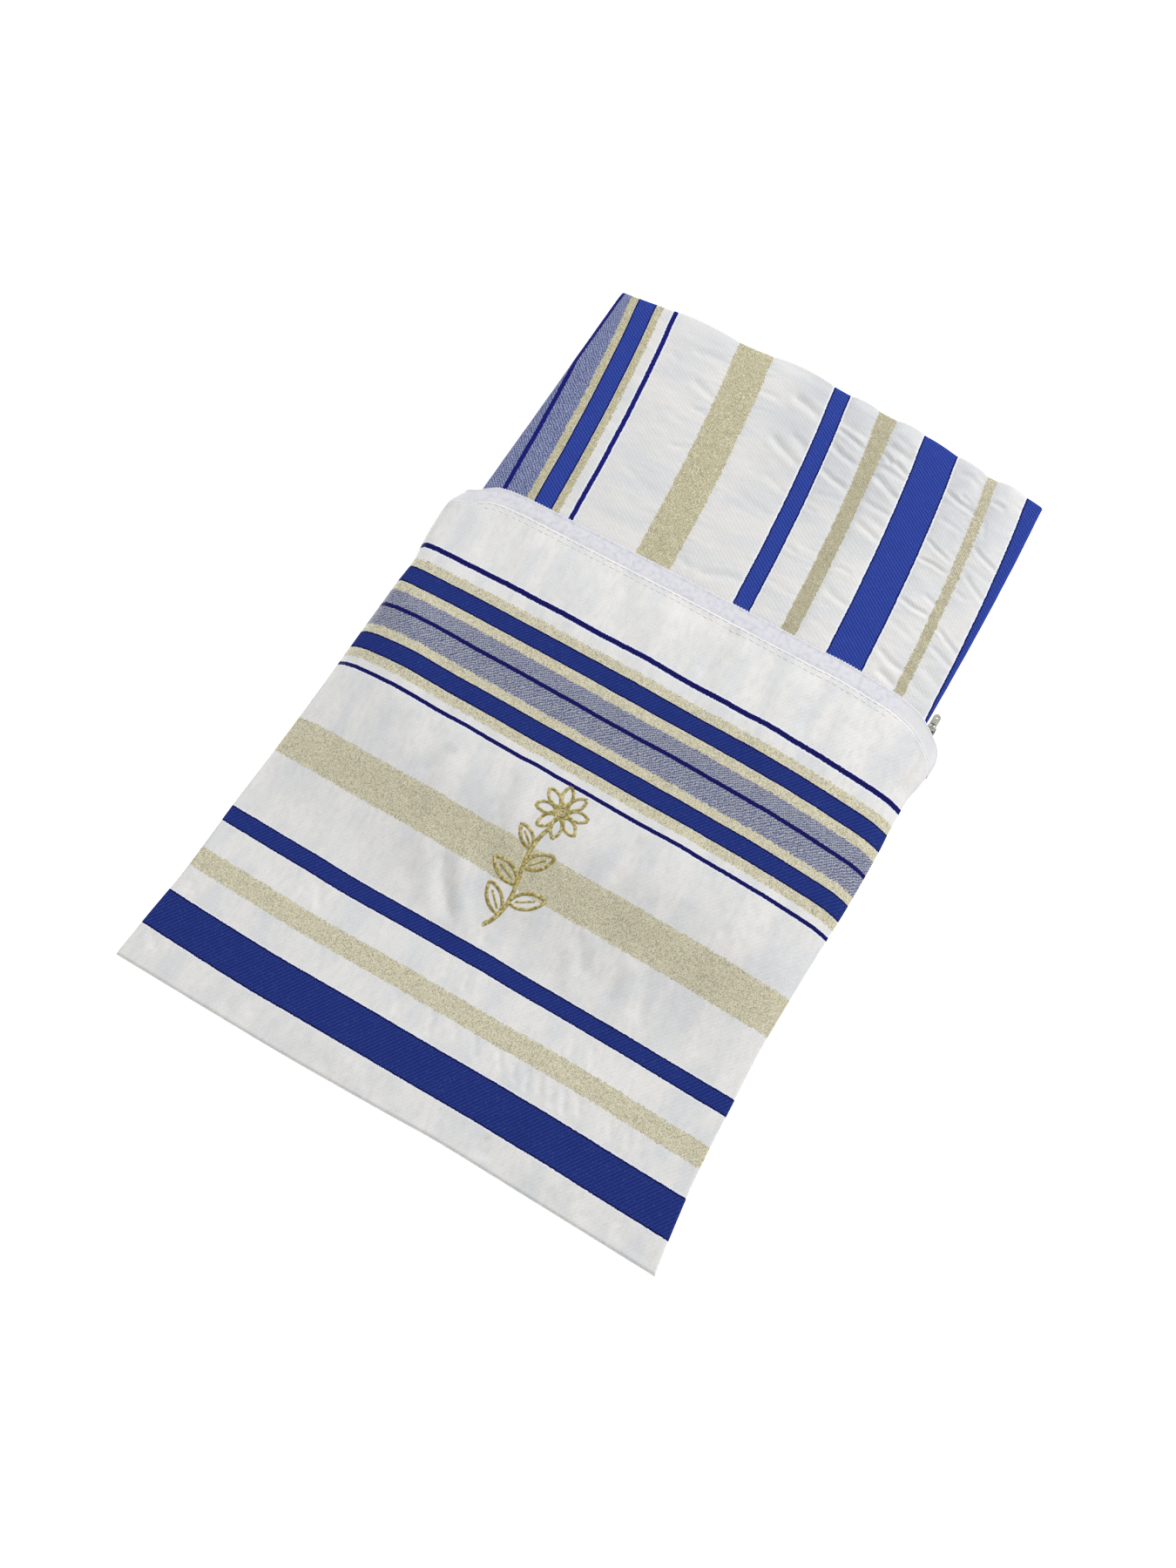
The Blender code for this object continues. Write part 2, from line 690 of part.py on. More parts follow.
def zip_slider(collection):
    """Two plates on a nose, with a bridge over the upper one for the pull tab."""
    half = SLIDER_WIDTH / 2
    left, right = SLIDER_ACROSS - half, SLIDER_ACROSS + half
    nose = NOSE_WIDTH / 2
    bridge = BRIDGE_WIDTH / 2
    overlap = SLIDER_OVERLAP
    lower = ((left, SLIDER_BACK, SLIDER_LOW), (right, SLIDER_FRONT, SLIDER_LOW + SLIDER_PLATE))
    upper = ((left, SLIDER_BACK, SLIDER_TOP - SLIDER_PLATE), (right, SLIDER_FRONT, SLIDER_TOP))
    neck = (
        (SLIDER_ACROSS - nose, SLIDER_FRONT - NOSE_LENGTH, SLIDER_LOW + SLIDER_PLATE - overlap),
        (SLIDER_ACROSS + nose, SLIDER_FRONT - overlap, SLIDER_TOP - SLIDER_PLATE + overlap),
    )
    back = HINGE_ALONG - BRIDGE_HALF
    front = HINGE_ALONG + BRIDGE_HALF
    posts = []
    for start in (back, front - BRIDGE_WALL):
        low = (SLIDER_ACROSS - bridge, start, SLIDER_TOP - overlap)
        posts.append((low, (SLIDER_ACROSS + bridge, start + BRIDGE_WALL, BRIDGE_TOP)))
    beam = (
        (SLIDER_ACROSS - bridge, back, BRIDGE_TOP - BRIDGE_WALL),
        (SLIDER_ACROSS + bridge, front, BRIDGE_TOP),
    )
    return union("zip_slider", [lower, neck, upper, *posts, beam], collection)


def zip_pull(collection):
    """The pull tab: a flat tab with a window for the bridge, turning on its own crossbar."""
    half = PULL_WIDTH / 2
    thick = PULL_THICKNESS / 2
    outline = bpy.data.curves.new("zip_pull_outline", "CURVE")
    outline.dimensions = "2D"
    outline.fill_mode = "BOTH"
    outline.extrude = thick * MM
    end = PULL_LENGTH - half
    tab = [(-half, -thick), (half, -thick)]
    for step in range(PULL_STEPS + 1):
        angle = pi * step / PULL_STEPS
        tab.append((half * cos(angle), end + half * sin(angle)))
    window = [
        (-half + PULL_ARM, thick),
        (half - PULL_ARM, thick),
        (half - PULL_ARM, PULL_WINDOW),
        (-half + PULL_ARM, PULL_WINDOW),
    ]
    eye = []
    for step in range(PULL_STEPS):
        angle = 2 * pi * step / PULL_STEPS
        eye.append((PULL_HOLE_RADIUS * cos(angle), end + PULL_HOLE_RADIUS * sin(angle)))
    for loop in (tab, window, eye):
        spline = outline.splines.new("POLY")
        spline.points.add(len(loop) - 1)
        for point, (side, out) in zip(spline.points, loop):
            point.co = (side * MM, out * MM, 0, 1)
        spline.use_cyclic_u = True
    flat = bpy.data.objects.new("zip_pull_outline", outline)
    collection.objects.link(flat)
    bpy.context.view_layer.update()
    mesh = bpy.data.meshes.new_from_object(flat.evaluated_get(bpy.context.evaluated_depsgraph_get()))
    bpy.data.objects.remove(flat)
    shape = bmesh.new()
    shape.from_mesh(mesh)
    bmesh.ops.remove_doubles(shape, verts=shape.verts, dist=0.00001)
    shape.to_mesh(mesh)
    shape.free()
    mesh.name = "zip_pull"
    made = make_object("zip_pull", mesh, collection)
    made.location = metres((SLIDER_ACROSS, HINGE_ALONG, HINGE_HEIGHT))
    made.rotation_euler = (radians(-PULL_TILT), 0, 0)
    return made


def main():
    for item in list(bpy.data.objects):
        bpy.data.objects.remove(item)
    collection = bpy.data.collections.new(COLLECTION)
    bpy.context.scene.collection.children.link(collection)
    for build in (
        pouch_back,
        pouch_front,
        zip_tape_back,
        zip_tape_front,
        scarf_folds,
        scarf_top,
        zip_slider,
        zip_pull,
    ):
        build(collection)


main()
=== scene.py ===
from collections import namedtuple
from math import cos, pi, radians, sin

import bpy
import numpy as np
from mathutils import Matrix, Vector
from mathutils.kdtree import KDTree


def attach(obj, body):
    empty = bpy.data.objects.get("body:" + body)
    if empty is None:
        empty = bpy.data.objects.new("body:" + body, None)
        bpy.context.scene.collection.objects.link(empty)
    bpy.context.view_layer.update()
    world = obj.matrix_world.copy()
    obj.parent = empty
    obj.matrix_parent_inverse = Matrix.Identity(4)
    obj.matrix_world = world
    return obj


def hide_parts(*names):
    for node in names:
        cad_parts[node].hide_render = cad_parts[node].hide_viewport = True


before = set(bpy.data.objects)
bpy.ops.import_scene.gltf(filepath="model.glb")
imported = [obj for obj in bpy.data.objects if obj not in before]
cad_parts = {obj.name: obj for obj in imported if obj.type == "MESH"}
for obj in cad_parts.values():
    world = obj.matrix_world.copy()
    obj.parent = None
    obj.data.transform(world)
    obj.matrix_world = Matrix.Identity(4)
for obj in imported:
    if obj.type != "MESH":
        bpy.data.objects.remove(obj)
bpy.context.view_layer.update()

MM = 0.001
ORIGIN_ALONG = 172.0
LEFT_LINE = -110.0
BODY = "pouch_and_scarf"

# Sizes that the scene shares with the part
PANEL_WALL = 1.2
LEAF_WALL = 1.2
TAPE_WALL = 1.0
TAPE_WIDTH = 7.5
SEAM_GAP = 0.3
SCARF_SLACK = 0.5
FLAT_UNDER = PANEL_WALL + SEAM_GAP
MOUTH_ALONG = 236.0
FAR_BOW_START = 300.0
FAR_PLAIN = 343.0
FOLD_RADIUS = 1.9
LEAF_START = 146.0
CORE_CORNER = 4.0
CORE_FAR_INSET = 1.0
LOWER_STACK_LEAST = 0.3
STEP_START = 236.8
STEP_END = 240.5


def table(names, *rows):
    """Rows of a table, with names for their columns."""
    Row = namedtuple("Row", names)
    return [Row(*row) for row in rows]


def creases(*rows):
    """Creases from rows of a half width, a depth, and the side and along of each point of a line."""
    return [(row[0], row[1], np.reshape(row[2:], (-1, 2)) + (LEFT_LINE, 0)) for row in rows]


POUCH_SIDES = table("along left right",
    (0, -114, 116.2), (14, -113.1, 114), (42, -111.2, 110.8), (69, -110.9, 109.3),
    (95, -110, 108.2), (125, -109.4, 108.6), (160, -109.1, 109.4), (178, -108.5, 109.2),
    (190, -107.9, 108.6), (203, -109.7, 108.5), (212, -110.4, 110), (218, -110.6, 110.6),
    (226, -107, 110.6), (232, -103.6, 110.3), (240, -103.4, 110), (347, -103.4, 105.5))
SCARF_SIDES = table("along left right",
    (98, -99.4, 97.6), (118, -100.2, 98.6), (200, -100.4, 99.3), (236, -100.4, 100.5),
    (270, -100.4, 100.1), (300, -100.6, 99.2), (343, -100.8, 97))
BOTTOM_EDGE = table("across along",
    (-114, -2.2), (-50, -1.6), (0, 0), (30, 1.2), (70, 1.1), (116, 1))
MOUTH_EDGE = table("across along",
    (-110.6, 217.8), (-109.8, 220.8), (-107.9, 224.4), (-105.6, 226.5), (-103.6, 227.3),
    (-101, 228.3), (-98.3, 230.4), (-93, 233.6), (-86, 234.7), (-76, 234.9), (-58, 234.8),
    (0, 235.4), (50, 235.9), (64, 236.6), (84, 236.6), (94, 235.4), (99, 233.4), (102.8, 231.1),
    (105.3, 229.3), (108.4, 226.9), (110, 224.2), (110.6, 222))
FAR_EDGE = table("across along",
    (-100, 341.8), (-90, 342.6), (-70, 344.4), (-45, 344), (-15, 345.8), (10, 344.7), (45, 343.8),
    (70, 341.2), (88, 342.1), (97, 341.8))
RIDGE = table("along rise",
    (68, 0), (78, 0.7), (95, 3.6), (110, 6.8), (124, 9.2), (150, 10.9), (187, 12.3), (236, 13.3),
    (300, 12.7), (335, 12), (348, 11))
CROWN = table("across share",
    (-104, 0.68), (-90, 0.76), (-70, 0.87), (-45, 0.96), (-15, 1), (40, 1), (60, 0.93), (78, 0.78),
    (92, 0.61), (104, 0.5))
SIDE_RUN = table("along left right",
    (70, 26, 26), (120, 22, 22), (152, 18, 20), (182, 8, 24), (212, 8, 16), (224, 6.5, 13),
    (232, 3.8, 12))
SIDE_RISE = table("run share",
    (0, 0), (0.06, 0.08), (0.15, 0.36), (0.28, 0.66), (0.45, 0.87), (0.7, 0.97), (1, 1))
SIDE_FADE = (2.0, 14.0)
BOTTOM_FADE = (1.0, 10.0)
MOUTH_FADE = 12.0
PANEL_FOLDS = table("across along turn reach width lift",
    (-84, 151, 8, 24, 14, 2.2), (-64, 212, 4, 20, 9, 0.7), (-41, 206, -4, 22, 8, 0.6),
    (-6, 208, 0, 24, 9, 0.9), (27, 210, 3, 20, 6, 0.9), (52, 206, -3, 22, 7, 1),
    (73, 212, 5, 18, 6, 0.7), (-47, 122, 18, 18, 6, 0.8), (-15, 124, 12, 18, 5, 0.9),
    (44, 124, -6, 20, 9, 1), (80, 120, -4, 20, 7, 0.8), (-17, 84, 28, 17, 5, 1.2),
    (-34, 86, 28, 15, 6, 0.9), (33, 84, 14, 16, 5, 0.8), (55, 80, 10, 16, 6, 0.8),
    (-72, 60, -6, 26, 10, 0.7), (6, 48, -3, 22, 6, 0.6), (50, 34, 8, 16, 5, 0.6),
    (68, 38, 8, 16, 5, 0.6), (-30, 12, 12, 12, 9, 0.5), (62, 8, -10, 10, 9, 0.5))
STRIPE_REFERENCE = -78.6
STRIPE_REFERENCE_PLACE = 12.4
STRIPE_STRETCH = 1.02
STRIPE_LEAN = table("across lean",
    (-80, 0.118), (95, 0.098))

# Where the pouch's stripes lie: a row gives how far along the pouch a place in the pattern is
POUCH_MARKS = table("along place",
    (-6, 177), (13.1, 156.8), (29.2, 141.4), (40.9, 129.1), (49.5, 121.2), (61.8, 108.2),
    (68.9, 100.8), (95.2, 73.2), (111.6, 57.9), (139.2, 28.8), (142.8, 23.4), (147.1, 20.2),
    (154.7, 12), (158.6, 8.6), (168, 0), (175, -8.6), (179.3, -12), (186.9, -20.2), (191, -23.4),
    (197.5, -28.8), (240, -70))

# How far the stripes wander: down near the pouch's bottom seam, and to the right on the scarf
POUCH_WANDER = table("at shift",
    (-110, 0.6), (-65, 1.3), (-20, 0.2), (20, -0.5), (50, -0.9), (95, -0.4))
SCARF_WANDER = table("at shift",
    (236, 0.2), (245, 0.4), (265, 0.9), (285, 1), (305, 0.7), (325, 0), (338, -0.8), (346, -1.2))

# How far places move on the scarf near the pouch, to narrow one gold stripe
SCARF_MOVES = table("place shift",
    (113, 0), (121, -0.8), (125, 0), (130.5, 1.9), (140, 0))

# Woven stripes: start, end and kind, by place
STRIPES = table("start end kind",
    (-29.9, -27.9, "line"), (-23.4, -20.2, "gold"), (-20.2, -12, "blue"), (-12, -8.6, "gold"),
    (-8.6, 8.6, "grey"), (-0.9, 0.9, "line"), (8.6, 12, "gold"), (12, 20.2, "blue"),
    (20.2, 23.4, "gold"), (27.9, 29.9, "line"), (57.9, 73.2, "gold"), (100.8, 108.2, "blue"),
    (121.2, 129.1, "gold"), (141.4, 156.8, "blue"), (172.9, 177, "gold"), (191.6, 205, "blue"))
GREY_END = 8.6

SCARF_CREASES = creases(
    (1.6, 0.35, 50, 329, 58, 331, 67, 331.5), (1.5, 0.45, 57, 317.5, 64, 315, 70, 314),
    (1.1, 0.45, 64, 304.5, 71, 306), (1, 0.3, 64, 285, 69, 286.5, 75, 288),
    (1.3, 0.2, 42, 325, 49, 322), (1.4, 0.22, 52, 300, 66, 297), (1.4, 0.2, 52, 268, 72, 262),
    (1.7, 0.85, 96, 331.5, 104, 330, 112, 328), (1.2, 0.35, 84, 327, 93, 327),
    (1.6, 0.8, 97, 311, 103, 308, 109, 305.5, 116, 303), (1.3, 0.45, 104, 315.5, 114, 312),
    (1.4, 0.3, 104, 293.5, 117, 289.5), (1.6, 0.22, 94, 281, 118, 277),
    (1.5, 0.45, 102, 240, 107, 241.5, 113, 244.5, 122, 247), (1.4, 0.35, 94, 243, 101, 240),
    (1.5, 0.5, 118, 331, 126, 330, 133, 329.5), (1, 0.85, 119, 327.5, 126, 326, 134, 324),
    (1.2, 0.9, 120, 320, 127, 317, 135, 315.5), (1.1, 0.8, 122, 307.5, 129, 305, 137, 304),
    (1, 0.3, 125, 295.5, 131, 297, 138, 298.5), (0.9, 0.35, 125, 288.5, 131, 288),
    (1, 0.28, 127, 269, 134, 268), (1, 0.25, 131, 272, 140, 273), (1.2, 0.22, 128, 253, 141, 250.5),
    (1.7, 0.9, 140, 331.5, 147, 330.5, 154, 329.5), (1.2, 0.35, 139, 337.5, 146, 335, 153, 333),
    (0.9, 0.7, 140, 327.5, 144, 325.5, 147, 323), (1, 0.75, 146, 325.5, 151, 323.5, 155, 322),
    (1, 0.4, 142, 320.5, 148, 320, 156, 319.5), (1.3, 0.95, 142, 316, 149, 313, 157, 310),
    (1.1, 0.55, 143, 303.5, 149, 302.5, 158, 302.5), (1.1, 0.3, 146, 298, 158, 296),
    (1.1, 0.6, 145, 293.5, 152, 291.5, 159, 289.5), (1, 0.4, 147, 270.5, 152, 271.5, 157, 271),
    (1.3, 0.5, 149, 261, 155, 259, 163, 258), (1.3, 0.22, 150, 247, 163, 244),
    (1.1, 0.3, 170, 334.5, 176, 336, 183, 334), (1, 0.85, 170, 325, 177, 323, 186, 322.5),
    (0.9, 0.45, 176, 326.5, 184, 324.5), (1, 0.3, 173, 313, 186, 311.5),
    (0.8, 0.75, 173, 302, 179, 299.5, 187, 297.5), (0.8, 0.75, 174, 292.3, 181, 292.8, 188, 292.5),
    (0.9, 0.5, 184, 279.8, 191, 278), (0.9, 0.85, 176, 273.5, 183, 272, 191, 272.5),
    (1.2, 0.3, 177, 262.5, 191, 260), (1.2, 0.8, 179, 249.8, 186, 247, 194, 246),
    (1.3, 0.9, 183, 241.5, 189, 240, 194, 239), (1, 0.5, 188, 331.5, 195, 331),
    (0.8, 0.35, 190, 322, 193, 314), (0.9, 0.7, 190, 310, 196, 307, 205, 304.5),
    (1, 0.25, 192, 301, 205, 298.5), (0.9, 0.6, 193, 297, 199, 293.3, 207, 290),
    (0.9, 0.28, 194, 288, 200, 286.5), (0.9, 0.75, 195, 270.5, 201, 267.3, 209, 264),
    (1.1, 0.55, 196, 262.5, 209, 258), (1.8, 0.45, 197, 253.5, 209, 248),
    (1.1, 0.25, 197, 244, 208, 241))
POUCH_CREASES = creases(
    (3.2, 0.7, 127, 200, 128, 214, 129, 229), (3, 0.35, 25, 202, 24, 214, 27, 224),
    (3, 0.25, 38, 203, 37, 222), (3.5, 0.25, 87, 201, 88, 222), (3, 0.3, 149, 203, 150, 226),
    (2.6, 0.45, 170, 201, 171, 227), (2.6, 0.45, 178, 201, 179, 227),
    (2.4, 0.2, 195, 202, 196, 222), (2.6, 0.5, 62, 130, 59, 122, 55, 114),
    (1.2, 0.35, 89, 132, 88, 115), (3.6, 0.4, 143, 136, 141, 125, 139, 114),
    (1.5, 0.3, 184, 136, 185, 116), (1.4, 0.25, 191, 135, 193, 115),
    (1.3, 0.25, 199, 134, 201, 116), (2.6, 0.6, 79, 95, 84, 85, 91, 77, 99, 71.5),
    (2.4, 0.5, 139, 94, 144, 86, 149, 79), (2, 0.4, 157, 95, 159, 86, 162, 73),
    (2, 0.4, 169, 95, 172, 85, 175, 74), (1.2, 0.25, 109, 77, 110.5, 71),
    (1.4, 0.2, 196, 92, 199, 74), (1.5, 0.35, 45, 61, 48, 55, 51, 50.5),
    (0.9, 0.28, 104, 61, 105, 53), (0.9, 0.28, 112, 60.5, 114, 52), (0.9, 0.22, 158, 60, 160, 52),
    (1.1, 0.25, 166, 60, 169, 52), (1.5, 0.3, 3, 36, 6, 31), (1.2, 0.22, 41, 40, 43, 31),
    (1.2, 0.2, 60, 40, 62, 32), (1.2, 0.22, 94, 40, 97, 32), (1, 0.35, 109, 40.5, 112, 31),
    (0.8, 0.28, 119, 40.5, 121, 35), (0.9, 0.3, 127, 40.5, 131, 33), (0.9, 0.32, 137, 41, 141, 34),
    (0.9, 0.3, 144, 40, 148, 33), (0.9, 0.5, 150, 41, 153, 32), (0.8, 0.38, 155, 41, 158, 34),
    (0.9, 0.35, 161, 40, 163, 32), (0.9, 0.45, 165, 41, 169, 32), (0.9, 0.32, 171, 41, 174, 35),
    (1.1, 0.22, 185, 40, 188, 33), (1, 0.22, 193, 40, 195, 33), (2, 0.3, 4, 12.5, 7, 6),
    (2.4, 0.22, 48, 12, 52, 4), (3, 0.35, 150, 12.5, 154, 3), (3, 0.35, 206, 12.5, 211, 2),
    (2.2, 0.2, 98, 12, 104, 3))

# Short gathers beside a stripe's edge: where the edge is, which way they reach, and their size
GATHERS = table("place way pitch reach depth",
    (57.9, -1, 3.6, 4, 0.17), (73.2, 1, 3.6, 4.6, 0.19), (100.8, -1, 4.6, 3.4, 0.13),
    (108.2, 1, 4.6, 3.4, 0.13), (121.2, -1, 3.8, 3.4, 0.15), (129.1, 1, 3.6, 3.8, 0.16),
    (141.4, -1, 4.4, 3.2, 0.13), (156.8, 1, 4.4, 3.4, 0.13), (172.4, -1, 3.8, 3.2, 0.15),
    (177.3, 1, 3.8, 3.2, 0.15), (191.6, -1, 4.4, 3, 0.12), (23.4, 1, 4.2, 2.6, 0.1),
    (29.6, 1, 5, 3, 0.09), (-23.4, -1, 4.2, 2.6, 0.1), (-29.6, -1, 5, 3, 0.09))

# Fine unevenness of the cloth, as layers of noise
LAYERS = "lift cell seed stretch"
POUCH_DRIFT = table(LAYERS, (0.25, 24, 61, 1))
PANEL_CRINKLE = table(LAYERS, (0.2, 19, 21, 0.35), (0.09, 9, 22, 0.4), (0.035, 2.1, 23, 1),
    (0.05, 2.6, 27, 0.35))
LEAF_CRINKLE = table(LAYERS, (0.09, 8, 24, 1), (0.05, 4, 25, 1.8), (0.04, 1.8, 26, 2))


def curve(rows, column, value):
    """A smooth line through a table, with no overshoot, level beyond both ends."""
    place = np.array([row[0] for row in rows], float)
    height = np.array([getattr(row, column) for row in rows], float)
    step = np.diff(height) / np.diff(place)
    same_way = step[:-1] * step[1:] > 0
    total = np.where(same_way, step[:-1] + step[1:], 1.0)
    inner = np.where(same_way, 2 * step[:-1] * step[1:] / total, 0.0)
    slope = np.concatenate([step[:1], inner, step[-1:]])
    value = np.clip(np.asarray(value, float), place[0], place[-1])
    i = np.clip(np.searchsorted(place, value, side="right") - 1, 0, len(step) - 1)
    span = place[i + 1] - place[i]
    t = (value - place[i]) / span
    rest = 1 - t
    start = height[i] * (1 + 2 * t) * rest ** 2 + span * slope[i] * t * rest ** 2
    return start + height[i + 1] * (3 - 2 * t) * t ** 2 - span * slope[i + 1] * rest * t ** 2


def soft_step(value, start, end):
    """0 before start, 1 after end, smooth between."""
    t = np.clip((value - start) / (end - start), 0, 1)
    return t * t * (3 - 2 * t)


def bottom_line(across):
    return curve(BOTTOM_EDGE, "along", across)


def mouth_line(across):
    return curve(MOUTH_EDGE, "along", across)


def seam_line(across):
    return mouth_line(across) - TAPE_WIDTH


def side_gaps(across, along):
    """How far in from the pouch's left and right sides a point is."""
    return across - curve(POUCH_SIDES, "left", along), curve(POUCH_SIDES, "right", along) - across


def stuffed_height(across, along):
    """Underside of the pouch's front panel before its folds, and of the air over the scarf."""
    left, right = side_gaps(across, along)
    rise = curve(SIDE_RISE, "share", left / curve(SIDE_RUN, "left", along))
    rise = rise * curve(SIDE_RISE, "share", right / curve(SIDE_RUN, "right", along))
    return FLAT_UNDER + curve(RIDGE, "rise", along) * curve(CROWN, "share", across) * rise


def edge_fade(across, along):
    """0 on the pouch's side and bottom seams and at its mouth, 1 a short way inside."""
    left, right = side_gaps(across, along)
    sides = soft_step(left, *SIDE_FADE) * soft_step(right, *SIDE_FADE)
    bottom = soft_step(along - bottom_line(across), *BOTTOM_FADE)
    return sides * bottom * soft_step(seam_line(across) - along, 0, MOUTH_FADE)


def panel_folds(across, along):
    """Height that the front panel's soft folds add."""
    total = np.zeros_like(across)
    for fold in PANEL_FOLDS:
        turn = radians(fold.turn)
        out = (across - fold.across) * cos(turn) + (along - fold.along) * sin(turn)
        down = (along - fold.along) * cos(turn) - (across - fold.across) * sin(turn)
        total += fold.lift * np.exp(-(out / fold.width) ** 2 - (down / fold.reach) ** 4)
    return total * edge_fade(across, along)


def scarf_height(across, along):
    """Top of the folded scarf before its puckers."""
    return stuffed_height(across, along) - SCARF_SLACK


def scarf_place(across, along):
    """Place in the stripe pattern on the scarf's top leaf, with the small steps that it has."""
    lean = curve(STRIPE_LEAN, "lean", across)
    at_mouth = across - curve(SCARF_WANDER, "shift", along) + lean * (along - MOUTH_ALONG)
    place = STRIPE_REFERENCE_PLACE + (at_mouth - STRIPE_REFERENCE) / STRIPE_STRETCH
    place = place - 0.5 * soft_step(place, 25, 60)
    place = place + 2.2 * soft_step(place, 158, 170) + 0.8 * soft_step(place, 175.5, 184)
    place = place + np.interp(place, *np.transpose(SCARF_MOVES)) * (1 - soft_step(along, 300, 345))
    edge_line = 1 - soft_step(place, -2, 8)
    place = place + 1.3 * edge_line * (1 - 2.4 * soft_step(along, 314, 342))
    return place + (0.7 + 0.018 * (FAR_PLAIN - along)) * soft_step(place, 184, 189)


def pouch_place(across, along):
    """Place in the stripe pattern on the pouch."""
    low = curve(POUCH_WANDER, "shift", across) * (1 - soft_step(along, 40, 110))
    return np.interp(along + low + noises(across, along, POUCH_DRIFT), *np.transpose(POUCH_MARKS))


def unit(way):
    return way / np.linalg.norm(way, axis=-1, keepdims=True)


def normals(points):
    """Unit normals of a grid of points, up on its top side."""
    return unit(np.cross(np.gradient(points, axis=1), np.gradient(points, axis=0)))


CREASE_MARGIN = 4.5
CREASE_ENDS = (-0.02, 0.22)
SHOULDER_LIFT = 0.26
SHOULDER_AT = 2.1
SHOULDER_WIDTH = 0.9


def crease_relief(across, along, lines):
    """Troughs with low shoulders along the creases' lines, fading at their ends."""
    total = np.zeros(across.shape)
    for width, depth, line in lines:
        margin = CREASE_MARGIN * width
        low = line.min(axis=0) - margin
        high = line.max(axis=0) + margin
        near = (across > low[0]) & (across < high[0]) & (along > low[1]) & (along < high[1])
        spots = np.stack([across[near], along[near]], axis=1)
        lengths = np.linalg.norm(np.diff(line, axis=0), axis=1)
        best = np.full(len(spots), 1e9)
        travel = np.zeros(len(spots))
        done = 0.0
        for start, end, length in zip(line[:-1], line[1:], lengths):
            way = (end - start) / length
            t = np.clip((spots - start) @ way, 0, length)
            gap = np.linalg.norm(spots - start - t[:, None] * way, axis=1)
            closer = gap < best
            best = np.where(closer, gap, best)
            travel = np.where(closer, (done + t) / lengths.sum(), travel)
            done += length
        u = best / width
        ends = soft_step(travel, *CREASE_ENDS) * soft_step(1 - travel, *CREASE_ENDS)
        shoulder = SHOULDER_LIFT * np.exp(-((u - SHOULDER_AT) / SHOULDER_WIDTH) ** 2)
        total[near] += depth * (shoulder - np.exp(-u ** 1.6)) * ends
    return total


NOISE_SIZE = 256
NOISE_ORIGIN = (128, 64)


def noise(across, along, cell, seed, stretch=1.0):
    """Smooth seeded noise from -1 to 1, with cells of a size in millimetres."""
    values = np.random.default_rng(seed).uniform(-1, 1, (NOISE_SIZE, NOISE_SIZE))
    x = across / cell / stretch + NOISE_ORIGIN[0]
    y = along / cell + NOISE_ORIGIN[1]
    i = np.floor(x).astype(int)
    j = np.floor(y).astype(int)
    u = soft_step(x - i, 0, 1)
    v = soft_step(y - j, 0, 1)
    i, j = i % (NOISE_SIZE - 1), j % (NOISE_SIZE - 1)
    low = values[i, j] * (1 - u) + values[i + 1, j] * u
    high = values[i, j + 1] * (1 - u) + values[i + 1, j + 1] * u
    return low * (1 - v) + high * v


def noises(across, along, layers):
    """Sum of a table's layers of noise."""
    return sum(row.lift * noise(across, along, row.cell, row.seed, row.stretch) for row in layers)


def gather_relief(place, run, run_low, run_high, seed):
    """Short frilly gathers square to the stripes, beside their edges."""
    random = np.random.default_rng(seed)
    total = np.zeros(place.shape)
    for gather in GATHERS:
        at = run_low + random.uniform(0, gather.pitch)
        while at < run_high:
            reach = gather.reach * random.uniform(0.5, 1.3)
            width = random.uniform(0.55, 0.95)
            depth = gather.depth * random.uniform(0.4, 1.4)
            tilt = random.uniform(-0.35, 0.35)
            near = (np.abs(run - at) < 4.5) & (np.abs(place - gather.place) < 2.2 * reach + 1)
            out = (place[near] - gather.place) * gather.way
            off = (run[near] - at - tilt * out) / width
            fade = np.exp(-(np.clip(out, 0, None) / reach) ** 2) * soft_step(out, -1.4, 0.6)
            total[near] += depth * fade * (0.5 * np.exp(-(off - 1.5) ** 2) - np.exp(-off ** 2))
            at += gather.pitch * random.uniform(0.55, 1.5)
    return total


def add_object(name, data, place=(0, 0, 0), aim=None):
    """Links an object of some data at a place, facing aim if it is given."""
    made = bpy.data.objects.new(name, data)
    made.location = place
    if aim:
        made.rotation_mode = "QUATERNION"
        made.rotation_quaternion = (Vector(aim) - Vector(place)).to_track_quat("-Z", "Y")
    bpy.context.scene.collection.objects.link(made)
    return made


def link_piece(mesh, material):
    """The piece of a mesh, under its name, on the body of pouch and scarf."""
    mesh.materials.append(material)
    made = add_object(mesh.name, mesh)
    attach(made, BODY)
    return made


def stand_in(mesh, material, node):
    """The piece of a mesh, in place of a node of the part."""
    made = link_piece(mesh, material)
    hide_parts(node)
    return made


MAP_SCALE = 100.0
SHELL_SKIP = 3


def new_mesh(name, points, faces, uv=None):
    """A smooth mesh from points in millimetres, with a map of run and place if given."""
    mesh = bpy.data.meshes.new(name)
    points = (np.array(points, float) - (0, ORIGIN_ALONG, 0)) * MM
    mesh.from_pydata(points.tolist(), [], faces)
    mesh.shade_smooth()
    if uv is not None:
        corner = np.zeros(len(mesh.loops), np.int32)
        mesh.loops.foreach_get("vertex_index", corner)
        layer = mesh.uv_layers.new(name="cloth")
        layer.data.foreach_set("uv", (np.asarray(uv, np.float32)[corner] / MAP_SCALE).ravel())
    return mesh


def quads(number):
    """The four corners of each square of a grid of numbers."""
    corners = [number[:-1, :-1], number[:-1, 1:], number[1:, 1:], number[1:, :-1]]
    return np.stack(corners, axis=-1).reshape(-1, 4)


def rim(number):
    """The numbers round the edge of a grid."""
    return np.concatenate([number[0, :-1], number[:-1, -1], number[-1, :0:-1], number[:0:-1, 0]])


